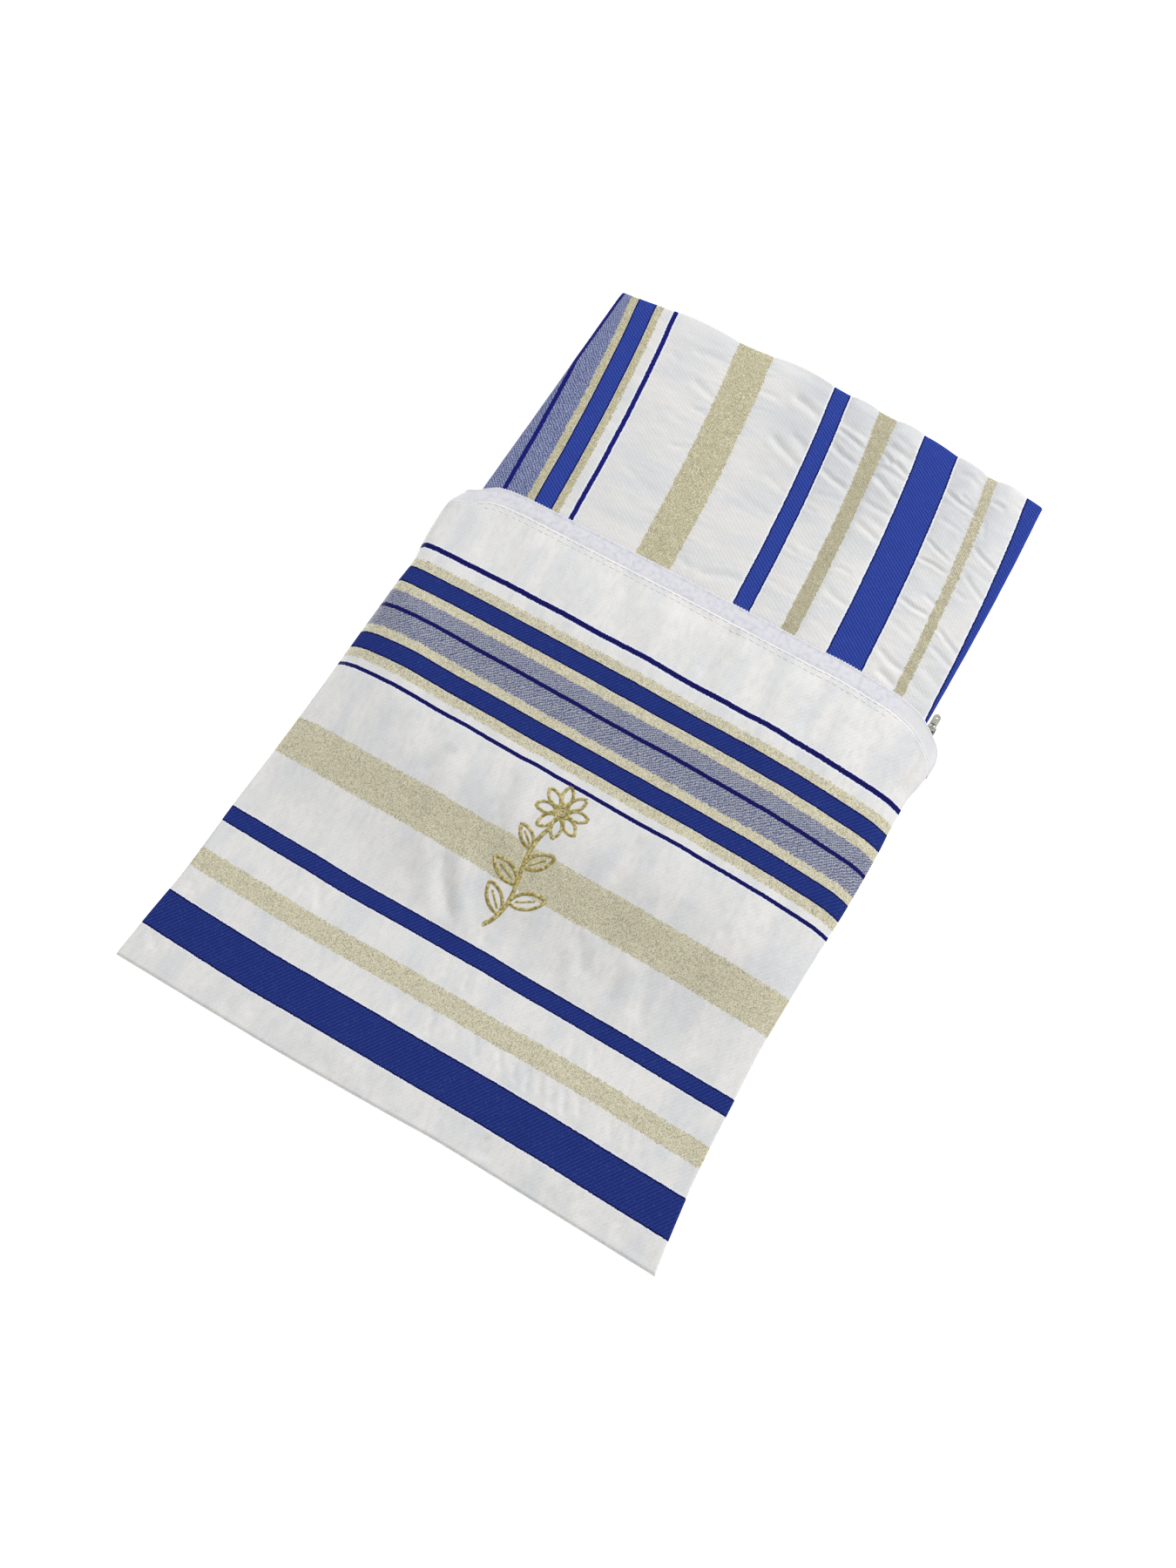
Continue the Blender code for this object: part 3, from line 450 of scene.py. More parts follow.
def shell(name, outer, inner, uv):
    """Closed thin cloth: a fine outer grid, and an inner grid with a point at every third one."""
    number = np.arange(outer[..., 0].size).reshape(outer.shape[:2])
    sparse = inner[::SHELL_SKIP, ::SHELL_SKIP]
    few = np.arange(sparse[..., 0].size).reshape(sparse.shape[:2]) + number.size
    faces = quads(number).tolist() + quads(few.T).tolist()
    high = rim(number).tolist()
    low = rim(few).tolist()
    for k in range(len(low)):
        fine = [high[(k * SHELL_SKIP + step) % len(high)] for step in range(SHELL_SKIP, -1, -1)]
        faces.append(fine + [low[k], low[(k + 1) % len(low)]])
    points = np.concatenate([outer.reshape(-1, 3), sparse.reshape(-1, 3)])
    both = np.concatenate([uv.reshape(-1, 2), uv[::SHELL_SKIP, ::SHELL_SKIP].reshape(-1, 2)])
    return new_mesh(name, points, faces, both)


# Materials

class Graph:
    """Builds a material's nodes with few words."""

    def __init__(self, name):
        self.material = bpy.data.materials.new(name)
        self.material.use_nodes = True
        self.tree = self.material.node_tree

    def plug(self, socket, value):
        if isinstance(value, bpy.types.NodeSocket):
            self.tree.links.new(value, socket)
        elif socket.type == "RGBA":
            colour = value if isinstance(value, tuple) else (value, value, value)
            socket.default_value = (*colour, 1.0)
        else:
            socket.default_value = value

    def node(self, kind, inputs, **settings):
        made = self.tree.nodes.new(kind)
        for key, value in settings.items():
            setattr(made, key, value)
        for key, value in inputs.items():
            self.plug(made.inputs[key], value)
        return made

    def math(self, operation, a, b=0.0, c=0.0):
        return self.node("ShaderNodeMath", {0: a, 1: b, 2: c}, operation=operation).outputs[0]

    def add(self, a, b):
        return self.math("ADD", a, b)

    def times(self, a, b):
        return self.math("MULTIPLY", a, b)

    def mix(self, factor, a, b):
        return self.node("ShaderNodeMix", {0: factor, 6: a, 7: b}, data_type="RGBA").outputs[2]

    def ramp(self, value, stops):
        made = self.node("ShaderNodeValToRGB", {"Fac": value})
        elements = made.color_ramp.elements
        elements.remove(elements[-1])
        for k, (position, colour) in enumerate(stops):
            stop = elements.new(position) if k else elements[0]
            stop.position = position
            stop.color = (*colour, 1.0)
        return made.outputs["Color"]

    def smooth(self, value, low, high):
        """0 below low, 1 above high."""
        limits = {"Value": value, "From Min": low, "From Max": high}
        made = self.node("ShaderNodeMapRange", limits, interpolation_type="SMOOTHSTEP")
        return made.outputs["Result"]

    def vector(self, x, y):
        return self.node("ShaderNodeCombineXYZ", {0: x, 1: y}).outputs[0]

    def split(self, vector):
        return self.node("ShaderNodeSeparateXYZ", {0: vector}).outputs

    def noise(self, vector, scale, detail=2.0, roughness=0.5):
        settings = {"Vector": vector, "Scale": scale, "Detail": detail, "Roughness": roughness}
        return self.node("ShaderNodeTexNoise", settings).outputs[0]

    def wave(self, run, place, pitch, degrees):
        """A sine from 0 to 1 across lines at an angle to the stripes, pitch in millimetres."""
        angle = radians(degrees)
        turn = self.add(self.times(run, cos(angle) / pitch), self.times(place, sin(angle) / pitch))
        return self.add(self.times(self.math("SINE", self.times(turn, 2 * pi)), 0.5), 0.5)

    def cloth_map(self):
        """Run and place in millimetres, from the cloth's map, and the two as one vector."""
        where = self.split(self.node("ShaderNodeUVMap", {}, uv_map="cloth").outputs[0])
        run = self.times(where[0], MAP_SCALE)
        place = self.times(where[1], MAP_SCALE)
        return run, place, self.vector(run, place)

    def on_object(self):
        return self.node("ShaderNodeTexCoord", {}).outputs["Object"]

    def finish(self, inputs, relief=None):
        """The material, once its shader has its inputs and relief: height, strength and depth."""
        shader = self.tree.nodes["Principled BSDF"]
        for name, value in inputs.items():
            self.plug(shader.inputs[name], value)
        if relief:
            bump = self.node("ShaderNodeBump", dict(zip(("Height", "Strength", "Distance"), relief)))
            self.plug(shader.inputs["Normal"], bump.outputs[0])
        return self.material


def stripe_mask(graph, place, kinds, grow=0.0):
    """1 on the stripes of some kinds, 0 between them."""
    total = 0.0
    for stripe in STRIPES:
        if stripe.kind in kinds:
            middle = 0.5 * (stripe.start + stripe.end)
            half = 0.5 * (stripe.end - stripe.start) + grow
            total = graph.math("MAXIMUM", graph.math("COMPARE", place, middle, half), total)
    return total


def scaled(colour, factor):
    return tuple(factor * part for part in colour)


Tints = namedtuple("Tints", "white shade blue blue_light edge gold grey grey_light line")
POUCH_TINTS = Tints(
    white=(0.90, 0.885, 0.86),
    shade=(0.785, 0.795, 0.81),
    blue=(0.0145, 0.028, 0.18),
    blue_light=(0.036, 0.066, 0.31),
    edge=(0.006, 0.007, 0.075),
    gold=(0.705, 0.66, 0.48),
    grey=(0.075, 0.088, 0.175),
    grey_light=(0.49, 0.505, 0.565),
    line=(0.010, 0.009, 0.115),
)
# The scarf is the pouch's cloth; its whites and golds are set darker as painted shade, against the
# brighter light and sheen its top takes from the lamp
SCARF_SHADED_TINTS = Tints(
    white=(0.82, 0.805, 0.78),
    shade=(0.715, 0.725, 0.745),
    blue=(0.019, 0.041, 0.285),
    blue_light=(0.066, 0.115, 0.46),
    edge=(0.008, 0.010, 0.10),
    gold=(0.578, 0.533, 0.352),
    grey=(0.048, 0.064, 0.185),
    grey_light=(0.365, 0.407, 0.60),
    line=(0.012, 0.014, 0.17),
)
# Streaks of tone, partly painted shade of soft folds
MOTTLE_AND_FOLD_SHADE = (0.69, 0.705, 0.73)
SATIN_LIGHT = (0.86, 0.86, 0.855)
# Painted shade for the scarf's far end
PAINTED_SHADE_GREY = (0.56, 0.58, 0.62)
FLECK = (0.70, 0.63, 0.42)
BLUE_SPECK = (0.16, 0.22, 0.55)
GOLD_GLINTS = [(0.0, 0.5), (0.16, 0.72), (0.45, 1), (0.80, 1.18)]
GOLD_BRIGHTEST = (0.90, 0.87, 0.69)
GREY_SPECK = (0.10, 0.12, 0.33)
BESIDE_BLUE = (0.87, 0.905, 0.985)
WEFT_STEP = 0.42
BLUE_BORDER = 0.6


def striped_cloth(name, tints, painted_shade):
    """The woven striped cloth, from its map of run and place; painted_shade adds painted shade to its
    far end and right-hand golds.
    """
    g = Graph(name)
    run, place, spot = g.cloth_map()

    # Uneven edges: each weft step ends a little differently
    step = g.math("FLOOR", g.times(run, 1 / WEFT_STEP))
    chance = g.node("ShaderNodeTexWhiteNoise", {"W": step}, noise_dimensions="1D").outputs["Value"]
    jitter = g.add(chance, -0.5)
    slow = g.add(g.noise(spot, 0.35), -0.5)
    fine_place = g.add(place, g.times(jitter, 0.22))
    rough_place = g.add(g.add(place, g.times(jitter, 0.75)), g.times(slow, 0.5))
    is_blue = stripe_mask(g, fine_place, ["blue"])
    near_blue = stripe_mask(g, fine_place, ["blue", "line"], BLUE_BORDER)
    inner_blue = stripe_mask(g, fine_place, ["blue"], -BLUE_BORDER)
    is_line = stripe_mask(g, fine_place, ["line"])
    is_gold = stripe_mask(g, rough_place, ["gold"])
    is_grey = stripe_mask(g, rough_place, ["grey"])

    # White ground: satin with a faint diagonal twill, and streaks along the cloth, partly its own slow
    # change of tone and partly painted shade of soft folds
    twill = g.wave(run, place, 1.45, 38)
    cross = g.wave(run, place, 0.62, -52)
    crinkle = g.noise(spot, 1.1, 3.0, 0.6)
    streaks = g.vector(g.times(run, 0.9), g.times(place, 0.3))
    mottle = g.noise(streaks, 0.6, 3.0, 0.55)
    white = g.mix(g.smooth(g.noise(streaks, 0.1), 0.35, 0.7), tints.white, tints.shade)
    white = g.mix(g.times(g.smooth(mottle, 0.42, 0.72), 0.4), white, MOTTLE_AND_FOLD_SHADE)
    white = g.mix(g.times(twill, g.smooth(crinkle, 0.40, 0.80)), white, SATIN_LIGHT)
    # Painted shade: a cloudy grey over the far part of the scarf between its outer stripes, where that
    # part dips away from the lamp
    if painted_shade:
        far = g.smooth(run, 262.0, 318.0)
        ends = g.math("SUBTRACT", 1.0, g.smooth(place, 180.0, 192.0))
        inside = g.times(g.smooth(place, 72.0, 97.0), ends)
        cloudy = g.add(g.times(g.smooth(g.noise(spot, 0.09), 0.3, 0.7), 0.6), 0.4)
        white = g.mix(g.times(g.times(far, inside), g.times(cloudy, 0.62)), white, PAINTED_SHADE_GREY)
    cells = g.node("ShaderNodeTexVoronoi", {"Vector": spot, "Scale": 2.9})
    cell = g.split(cells.outputs["Color"])
    white = g.mix(g.times(g.smooth(cell[0], 0.965, 0.985), 0.35), white, FLECK)

    # Blue: close twill with light specks and darker edge threads
    ribs = g.wave(run, place, 1.25, 35)
    blue = g.mix(g.times(ribs, 0.55), tints.blue, tints.blue_light)
    blue = g.mix(g.times(g.smooth(cell[1], 0.90, 0.97), 0.16), blue, BLUE_SPECK)
    blue = g.mix(inner_blue, tints.edge, blue)

    # Gold: speckled metal thread
    glints = [(at, scaled(tints.gold, share)) for at, share in GOLD_GLINTS]
    glint = g.ramp(cell[2], glints + [(1.0, GOLD_BRIGHTEST)])
    bars = g.wave(run, place, 0.95, 40)
    gold = g.mix(g.times(bars, 0.35), glint, scaled(tints.gold, 0.78))
    gold = g.mix(g.times(g.smooth(mottle, 0.4, 0.7), 0.25), gold, scaled(tints.gold, 1.06))
    # Painted shade: the golds on the scarf's right part are darkened for the shade of the puckers
    # among them
    if painted_shade:
        gold = g.mix(g.times(g.smooth(place, 80.0, 118.0), 0.36), gold, scaled(tints.gold, 0.5))

    # Grey band: blue and white threads in a fine diagonal hatch
    bend = g.times(g.noise(spot, 0.55, 3.0, 0.6), 3.2)
    hatch = g.wave(g.add(run, bend), place, 1.0, 50)
    across_hatch = g.wave(g.add(run, g.times(bend, -0.7)), place, 0.8, -28)
    broken = g.noise(g.vector(run, g.times(place, 2.2)), 1.5, 3.0, 0.65)
    marl = g.add(g.add(g.times(hatch, 0.34), g.times(across_hatch, 0.2)), g.times(broken, 0.9))
    grey = g.mix(g.smooth(marl, 0.52, 0.92), tints.grey, tints.grey_light)
    grey = g.mix(g.times(g.smooth(cell[1], 0.72, 0.95), 0.8), grey, GREY_SPECK)

    # The ground, with bright threads beside the blue stripes, and then the stripes on it
    colour = g.mix(is_grey, white, grey)
    beside = g.math("MAXIMUM", g.math("SUBTRACT", near_blue, is_grey), 0.0)
    layers = ((beside, BESIDE_BLUE), (is_gold, gold), (is_blue, blue), (is_line, tints.line))
    for mask, above in layers:
        colour = g.mix(mask, colour, above)

    rise = g.add(g.times(twill, 0.34), g.times(cross, 0.22))
    rise = g.mix(is_blue, rise, g.add(g.times(ribs, 0.4), g.times(cross, 0.1)))
    rise = g.mix(is_gold, rise, g.add(g.times(cell[2], 0.5), g.times(bars, 0.3)))
    return g.finish({
        "Base Color": colour,
        "Roughness": g.mix(is_blue, g.mix(is_gold, 0.52, 0.40), 0.80),
        "Specular IOR Level": g.mix(g.math("MAXIMUM", is_blue, is_line), 0.25, 0.02),
        "Metallic": g.times(is_gold, g.times(g.smooth(cell[0], 0.55, 0.9), 0.12)),
        "Sheen Weight": g.times(g.math("SUBTRACT", 1.0, is_blue), 0.12),
        "Sheen Roughness": 0.4,
    }, relief=(g.add(rise, g.times(crinkle, 1.5)), 0.55, 0.00012))


TAPE_COLOUR = (0.81, 0.808, 0.86)
TAPE_RIB = (0.82, 0.82, 0.86)
TAPE_SHADE = (0.68, 0.69, 0.76)
TAPE_ENDS = (0.80, 0.80, 0.815)


def tape_cloth(name):
    """Plain woven zip tape."""
    g = Graph(name)
    run, place, spot = g.cloth_map()
    weave = g.wave(run, g.math("PINGPONG", place, 1.3), 0.8, 45)
    soft = g.noise(spot, 0.5, 3.0)
    tint = g.mix(g.times(weave, 0.35), TAPE_COLOUR, TAPE_RIB)
    tint = g.mix(g.smooth(soft, 0.4, 0.75), tint, TAPE_SHADE)
    tint = g.mix(g.smooth(g.math("ABSOLUTE", g.add(run, 5.0)), 88.0, 100.0), tint, TAPE_ENDS)
    return g.finish({"Base Color": tint, "Roughness": 0.6, "Specular IOR Level": 0.3},
                    relief=(g.add(g.times(weave, 0.5), soft), 0.5, 0.0001))


def thread(name, light, dark, roughness, grain=2600.0):
    """Sewing or embroidery thread, varied from place to place."""
    g = Graph(name)
    where = g.on_object()
    tint = g.mix(g.smooth(g.noise(where, grain), 0.35, 0.7), dark, light)
    slow = g.smooth(g.noise(where, 240.0, 1.0), 0.45, 0.7)
    return g.finish({"Base Color": g.mix(g.times(slow, 0.35), tint, dark), "Roughness": roughness})


NICKEL = (0.27, 0.268, 0.228)
NICKEL_WORN = (0.185, 0.185, 0.155)
BRUSHING = (9000.0, 700.0, 700.0)


def brushed_metal(name):
    """Nickel-coloured metal, faintly brushed and dulled."""
    g = Graph(name)
    where = g.on_object()
    lines = g.node("ShaderNodeVectorMath", {0: where, 1: BRUSHING}, operation="MULTIPLY").outputs[0]
    brushed = g.noise(lines, 1.0, 3.0)
    tint = g.mix(g.smooth(g.noise(where, 420.0), 0.4, 0.7), NICKEL, NICKEL_WORN)
    rough = g.add(g.times(brushed, 0.25), 0.30)
    return g.finish({"Base Color": tint, "Roughness": rough, "Metallic": 0.6},
                    relief=(brushed, 0.15, 0.00005))


# The pouch

def steps_out(*runs):
    """Distances from 0, close together at first: each run is a count of steps of a size."""
    return np.concatenate([[0.0], np.cumsum(np.concatenate([[size] * count for count, size in runs]))])


PLAN_ROUNDS = 6


def pouch_plan(levels, low_edge, high_edge, middle_count):
    """Fine grid of the pouch's plan: levels from 0 on its lower edge to 1 on its upper edge."""
    levels = np.asarray(levels, float)[:, None]
    inset = steps_out((6, 0.3), (8, 0.45), (10, 0.6))
    share = np.linspace(0, 1, middle_count + 2)[1:-1]
    across = np.zeros((len(levels), 2 * len(inset) + len(share)))

    def between(across):
        return low_edge(across) * (1 - levels) + high_edge(across) * levels

    for _ in range(PLAN_ROUNDS):
        along = between(across)
        first = curve(POUCH_SIDES, "left", along[:, :1]) + inset
        last = curve(POUCH_SIDES, "right", along[:, -1:]) - inset[::-1]
        middle = first[:, -1:] * (1 - share) + last[:, :1] * share
        across = np.concatenate([first, middle, last], axis=1)
    return across, between(across)


CLOTH = 0.5
TAPE_MEETS = 0.05
RIM_DROP = 0.75
RIM_REACH = 1.3
PANEL_LENGTH = 228.0


def panel_plan(rows, middle_count):
    """Plan of a pouch panel, whose cloth just reaches its zip tape."""
    fine = steps_out((6, 0.3), (6, 0.5))
    levels = np.concatenate([fine, np.linspace(fine[-1], PANEL_LENGTH, rows - len(fine) + 1)[1:]])
    across, along = pouch_plan(levels / PANEL_LENGTH, bottom_line, seam_line, middle_count)
    side = np.gradient(across[-1])
    rise = np.gradient(along[-1])
    length = np.hypot(side, rise)
    across[-1] += TAPE_MEETS * rise / length
    along[-1] -= TAPE_MEETS * side / length
    return across, along


def edge_distance(across, along):
    """How far a point is inside the pouch's outline, in millimetres."""
    return np.minimum(np.minimum(*side_gaps(across, along)), along - bottom_line(across))


def rolled_rim(across, along):
    """How far the cloth turns down at its sewn edge."""
    t = np.clip(1 - edge_distance(across, along) / RIM_REACH, 0, 1)
    return RIM_DROP * (1 - np.sqrt(np.clip(1 - t * t, 0, 1)))


def front_relief(across, along, place):
    """Creases, gathers and crinkle of the front panel."""
    inside = soft_step(edge_distance(across, along), 0.5, 5.0)
    inside = inside * soft_step(seam_line(across) - along, 0.0, 2.5)
    total = crease_relief(across, along, POUCH_CREASES)
    total += gather_relief(place, across, -112.0, 112.0, 11)
    return (total + noises(across, along, PANEL_CRINKLE)) * inside


FRONT_ROWS, FRONT_COLUMNS = 286, 251
BACK_ROWS, BACK_COLUMNS = 100, 71
TAPE_FRONT_COLUMNS = 431
TAPE_BACK_ROWS, TAPE_BACK_COLUMNS = 7, 146


def build_pouch_front(material):
    across, along = panel_plan(FRONT_ROWS, FRONT_COLUMNS)
    place = pouch_place(across, along)
    height = stuffed_height(across, along) + panel_folds(across, along)
    under = np.stack([across, along, height], axis=2)
    facing = normals(under)
    wall = PANEL_WALL + front_relief(across, along, place) - rolled_rim(across, along)
    outer = under + wall[:, :, None] * facing
    inner = outer - np.minimum(CLOTH, wall * 0.8)[:, :, None] * facing
    mesh = shell("pouch_front_cloth", outer, inner, np.stack([across, place], axis=2))
    return stand_in(mesh, material, "pouch_front"), outer


def flat_piece(name, across, along, top, place, material, node):
    """Cloth that lies on the table, with its top at a height."""
    outer = np.stack([across, along, top], axis=2)
    inner = np.stack([across, along, np.zeros_like(across)], axis=2)
    return stand_in(shell(name, outer, inner, np.stack([across, place], axis=2)), material, node)


def build_pouch_back(material):
    across, along = panel_plan(BACK_ROWS, BACK_COLUMNS)
    top = PANEL_WALL - rolled_rim(across, along)
    place = pouch_place(across, along)
    return flat_piece("pouch_back_cloth", across, along, top, place, material, "pouch_back")


def build_tape_front(material):
    levels = np.concatenate([[0, 0.04, 0.08], np.linspace(0.12, 0.9, 12), [0.94, 0.97, 0.985, 1.0]])
    across, along = pouch_plan(levels, seam_line, mouth_line, TAPE_FRONT_COLUMNS)
    under = np.stack([across, along, stuffed_height(across, along)], axis=2)
    facing = normals(under)
    v = (levels * TAPE_WIDTH)[:, None] + np.zeros_like(across)
    wave = 0.10 * noise(across, 0 * across, 2.1, 31) + 0.07 * noise(across, along, 5.0, 32)
    ends = soft_step(across, -104.0, -94.0) * soft_step(-across, -94.0, -80.0)
    seam_dip = (0.18 - 0.30 * ends) * np.exp(-(v / 0.6) ** 2)
    edge_bead = 0.16 * np.exp(-((v - TAPE_WIDTH + 0.5) / 0.35) ** 2)
    drop = -0.45 * np.clip(1 - (TAPE_WIDTH - v) / 0.35, 0, 1) ** 2
    inside = soft_step(v, 0.2, 1.5) * soft_step(TAPE_WIDTH - v, 0.3, 2.0)
    relief = wave * (0.35 + 0.65 * inside) + seam_dip + edge_bead + drop
    outer = under + (TAPE_WALL + relief)[:, :, None] * facing
    mesh = shell("zip_tape_front_cloth", outer, under + 0.35 * facing, np.stack([across, v], axis=2))
    return stand_in(mesh, material, "zip_tape_front")


def build_tape_back(material):
    levels = np.linspace(0, 1, TAPE_BACK_ROWS)
    across, along = pouch_plan(levels, seam_line, mouth_line, TAPE_BACK_COLUMNS)
    v = (levels * TAPE_WIDTH)[:, None] + np.zeros_like(across)
    top = TAPE_WALL - 0.2 + 0.05 * noise(across, along, 3.0, 41)
    return flat_piece("zip_tape_back_cloth", across, along, top, v, material, "zip_tape_back")


# The scarf

END_ROLL = 1.4
END_BULGE = 0.9
END_REACH = 1.5
END_FADE = 5.0
END_LEAST = 0.35
LEAF_FADE = (232.0, 238.0)
STRONGER = (285.0, 325.0)
LINE_AT_FOLD = 0.9
LEAF_SHOWN = 228.0
HIDDEN_ROWS, SHOWN_ROWS, LEAF_COLUMNS = 18, 184, 318
CURL_STEPS = 14
TURN_STEPS = 6
RIGHT_FOLD_PLACE = 188.6
RIGHT_FOLD_RATE = 2.4
RIGHT_LAST_PLACE = 198.5
BELLIES = table("start end lift",
    (30, 57.5, 0.3), (73.5, 100.5, 0.5), (108.5, 121, 0.5), (129.5, 141, 0.55), (157, 172, 0.55),
    (177.5, 191, 0.5))


def bowed(along, across):
    """Rows towards the far end follow its bow."""
    share = soft_step(along, FAR_BOW_START, FAR_PLAIN)
    return along + share * (curve(FAR_EDGE, "along", across) - FAR_PLAIN)


def puffed(place, lifts):
    """0 beside a stripe, and a belly's own lift in the middle of its puffed white band."""
    total = np.zeros(place.shape)
    for belly, lift in zip(BELLIES, lifts):
        inside = np.clip((place - belly.start) / (belly.end - belly.start), 0, 1)
        total += lift * np.sqrt(np.sin(pi * inside))
    return total


def leaf_relief(across, along):
    """Puffed white bands, creases, gathers and crinkle of the scarf's top leaf."""
    place = scarf_place(across, along)
    stronger = soft_step(along, *STRONGER)
    total = puffed(place, [belly.lift for belly in BELLIES])
    total += (0.56 + 0.14 * stronger) * crease_relief(across, along, SCARF_CREASES)
    total += (0.42 + 0.28 * stronger) * gather_relief(place, along, 236.0, 345.0, 12)
    total += noises(across, along, LEAF_CRINKLE)
    end = soft_step(FAR_PLAIN + END_REACH - along, 0.0, END_FADE)
    return total * (soft_step(along, *LEAF_FADE) * (END_LEAST + (1 - END_LEAST) * end))


def build_scarf_top(material):
    hidden = np.linspace(LEAF_START, LEAF_SHOWN, HIDDEN_ROWS + 1)[:-1]
    shown = np.linspace(LEAF_SHOWN, FAR_PLAIN - END_ROLL, SHOWN_ROWS)
    rows = np.concatenate([hidden, shown])[:, None]
    left = curve(SCARF_SIDES, "left", rows) + FOLD_RADIUS
    right = curve(SCARF_SIDES, "right", rows) - FOLD_RADIUS
    share = np.linspace(0, 1, LEAF_COLUMNS)
    across = left * (1 - share) + right * share
    along = bowed(rows, across)
    place = scarf_place(across, along)
    # Where the thin line in the grey band meets the left side fold, it follows the fold
    pull = np.maximum((GREY_END - LINE_AT_FOLD) / (GREY_END - place[:, :1]), 1.0)
    place = np.where(place < GREY_END, GREY_END - (GREY_END - place) * pull, place)
    bulge = END_BULGE * puffed(place, np.ones(len(BELLIES)))
    along = along + bulge * soft_step(rows, FAR_PLAIN - 18, FAR_PLAIN)
    top = np.stack([across, along, scarf_height(across, along)], axis=2)

    # Both side folds curl round and under
    curl_angles = np.linspace(248, 97, CURL_STEPS)
    angles = np.radians(curl_angles)
    arc = FOLD_RADIUS * (angles - pi / 2)
    bend = FOLD_RADIUS * np.stack([np.cos(angles), 0 * angles, np.sin(angles) - 1], axis=1)
    left_curl = top[:, :1] + bend
    right_curl = top[:, -1:] + (bend * (-1, 1, 1))[::-1]
    plain = np.concatenate([left_curl, top, right_curl], axis=1)
    back = arc[::-1]
    right_place = np.maximum(place[:, -1:] + back, RIGHT_FOLD_PLACE + RIGHT_FOLD_RATE * back)
    right_place = np.minimum(right_place, RIGHT_LAST_PLACE)
    place = np.concatenate([place[:, :1] - arc, place, right_place], axis=1)

    # The far end turns down over the layers below, less so under its side folds
    hang = np.ones(plain.shape[1])
    hang[:CURL_STEPS] = np.interp(curl_angles, [97, 170, 248], [1, 1, 0.2])
    hang[-CURL_STEPS:] = hang[:CURL_STEPS][::-1]
    angles = np.radians(np.linspace(0, 110, TURN_STEPS + 1)[1:])[:, None]
    turned_down = np.repeat(plain[-1:], len(angles), axis=0)
    turned_down[:, :, 1] += END_ROLL * np.sin(angles) * hang
    turned_down[:, :, 2] -= END_ROLL * (1 - np.cos(angles)) * hang
    run = np.concatenate([plain[:, :, 1], plain[-1:, :, 1] + END_ROLL * angles])
    place = np.concatenate([place, np.repeat(place[-1:], len(angles), axis=0)])
    plain = np.concatenate([plain, turned_down])
    facing = normals(plain)
    sides = np.ones(plain.shape[1])
    sides[:CURL_STEPS] = np.linspace(0.1, 1, CURL_STEPS)
    sides[-CURL_STEPS:] = sides[:CURL_STEPS][::-1]
    relief = leaf_relief(plain[:, :, 0], plain[:, :, 1]) * sides
    outer = plain + relief[:, :, None] * facing
    inner = plain + (np.minimum(relief, 0.0) - CLOTH)[:, :, None] * facing
    mesh = shell("scarf_top_cloth", outer, inner, np.stack([run, place], axis=2))
    return stand_in(mesh, material, "scarf_top")


LOWER_LIPS = 4
UPPER_LIPS = 3
LIP_STEPS = 7
LIP_RUN = 1.4
LIP_ROUND = 0.62
CORNER_STEPS = 5


def core_base(along):
    """Underside of the hidden layers: on the back panel in the pouch, on the table outside it."""
    return FLAT_UNDER * (1 - np.clip((along - STEP_START) / (STEP_END - STEP_START), 0, 1))


def rounded_plan():
    """Plan grid of the hidden layers with rounded corners, and which way its edge faces."""
    rows = np.concatenate([np.linspace(98, 102, CORNER_STEPS), np.linspace(106, 230, 32)[:-1],
                           np.linspace(230, 339, 74), np.linspace(340, 343, 4)])[:, None]
    left = curve(SCARF_SIDES, "left", rows)
    right = curve(SCARF_SIDES, "right", rows)
    corner = CORE_CORNER / (right - left)
    ends = np.linspace(0, 1, CORNER_STEPS)
    middle = np.linspace(0, 1, 62)[1:-1]
    inner = corner + (1 - 2 * corner) * middle
    share = np.concatenate([corner * ends, inner, 1 - corner * ends[::-1]], axis=1)
    across = left * (1 - share) + right * share
    along = bowed(rows, across) - CORE_FAR_INSET * soft_step(rows, FAR_BOW_START, FAR_PLAIN)
    # Corners are rounded by mapping their squares to quarter discs
    out = [np.zeros(count) for count in across.shape]
    for values in out:
        values[:CORNER_STEPS] = ends - 1
        values[-CORNER_STEPS:] = ends
    u, v = np.meshgrid(out[1], out[0])
    round_u = u * np.sqrt(1 - v * v / 2)
    round_v = v * np.sqrt(1 - u * u / 2)
    corners = (u != 0) & (v != 0)
    across = across + np.where(corners, (round_u - u) * CORE_CORNER, 0.0)
    along = along + np.where(corners, (round_v - v) * CORE_CORNER, 0.0)
    flat_u = np.where(np.abs(u) == 1, u, 0.0)
    flat_v = np.where(np.abs(v) == 1, v, 0.0)
    way = np.stack([np.where(corners, round_u, flat_u), np.where(corners, round_v, flat_v)], axis=2)
    return across, along, way


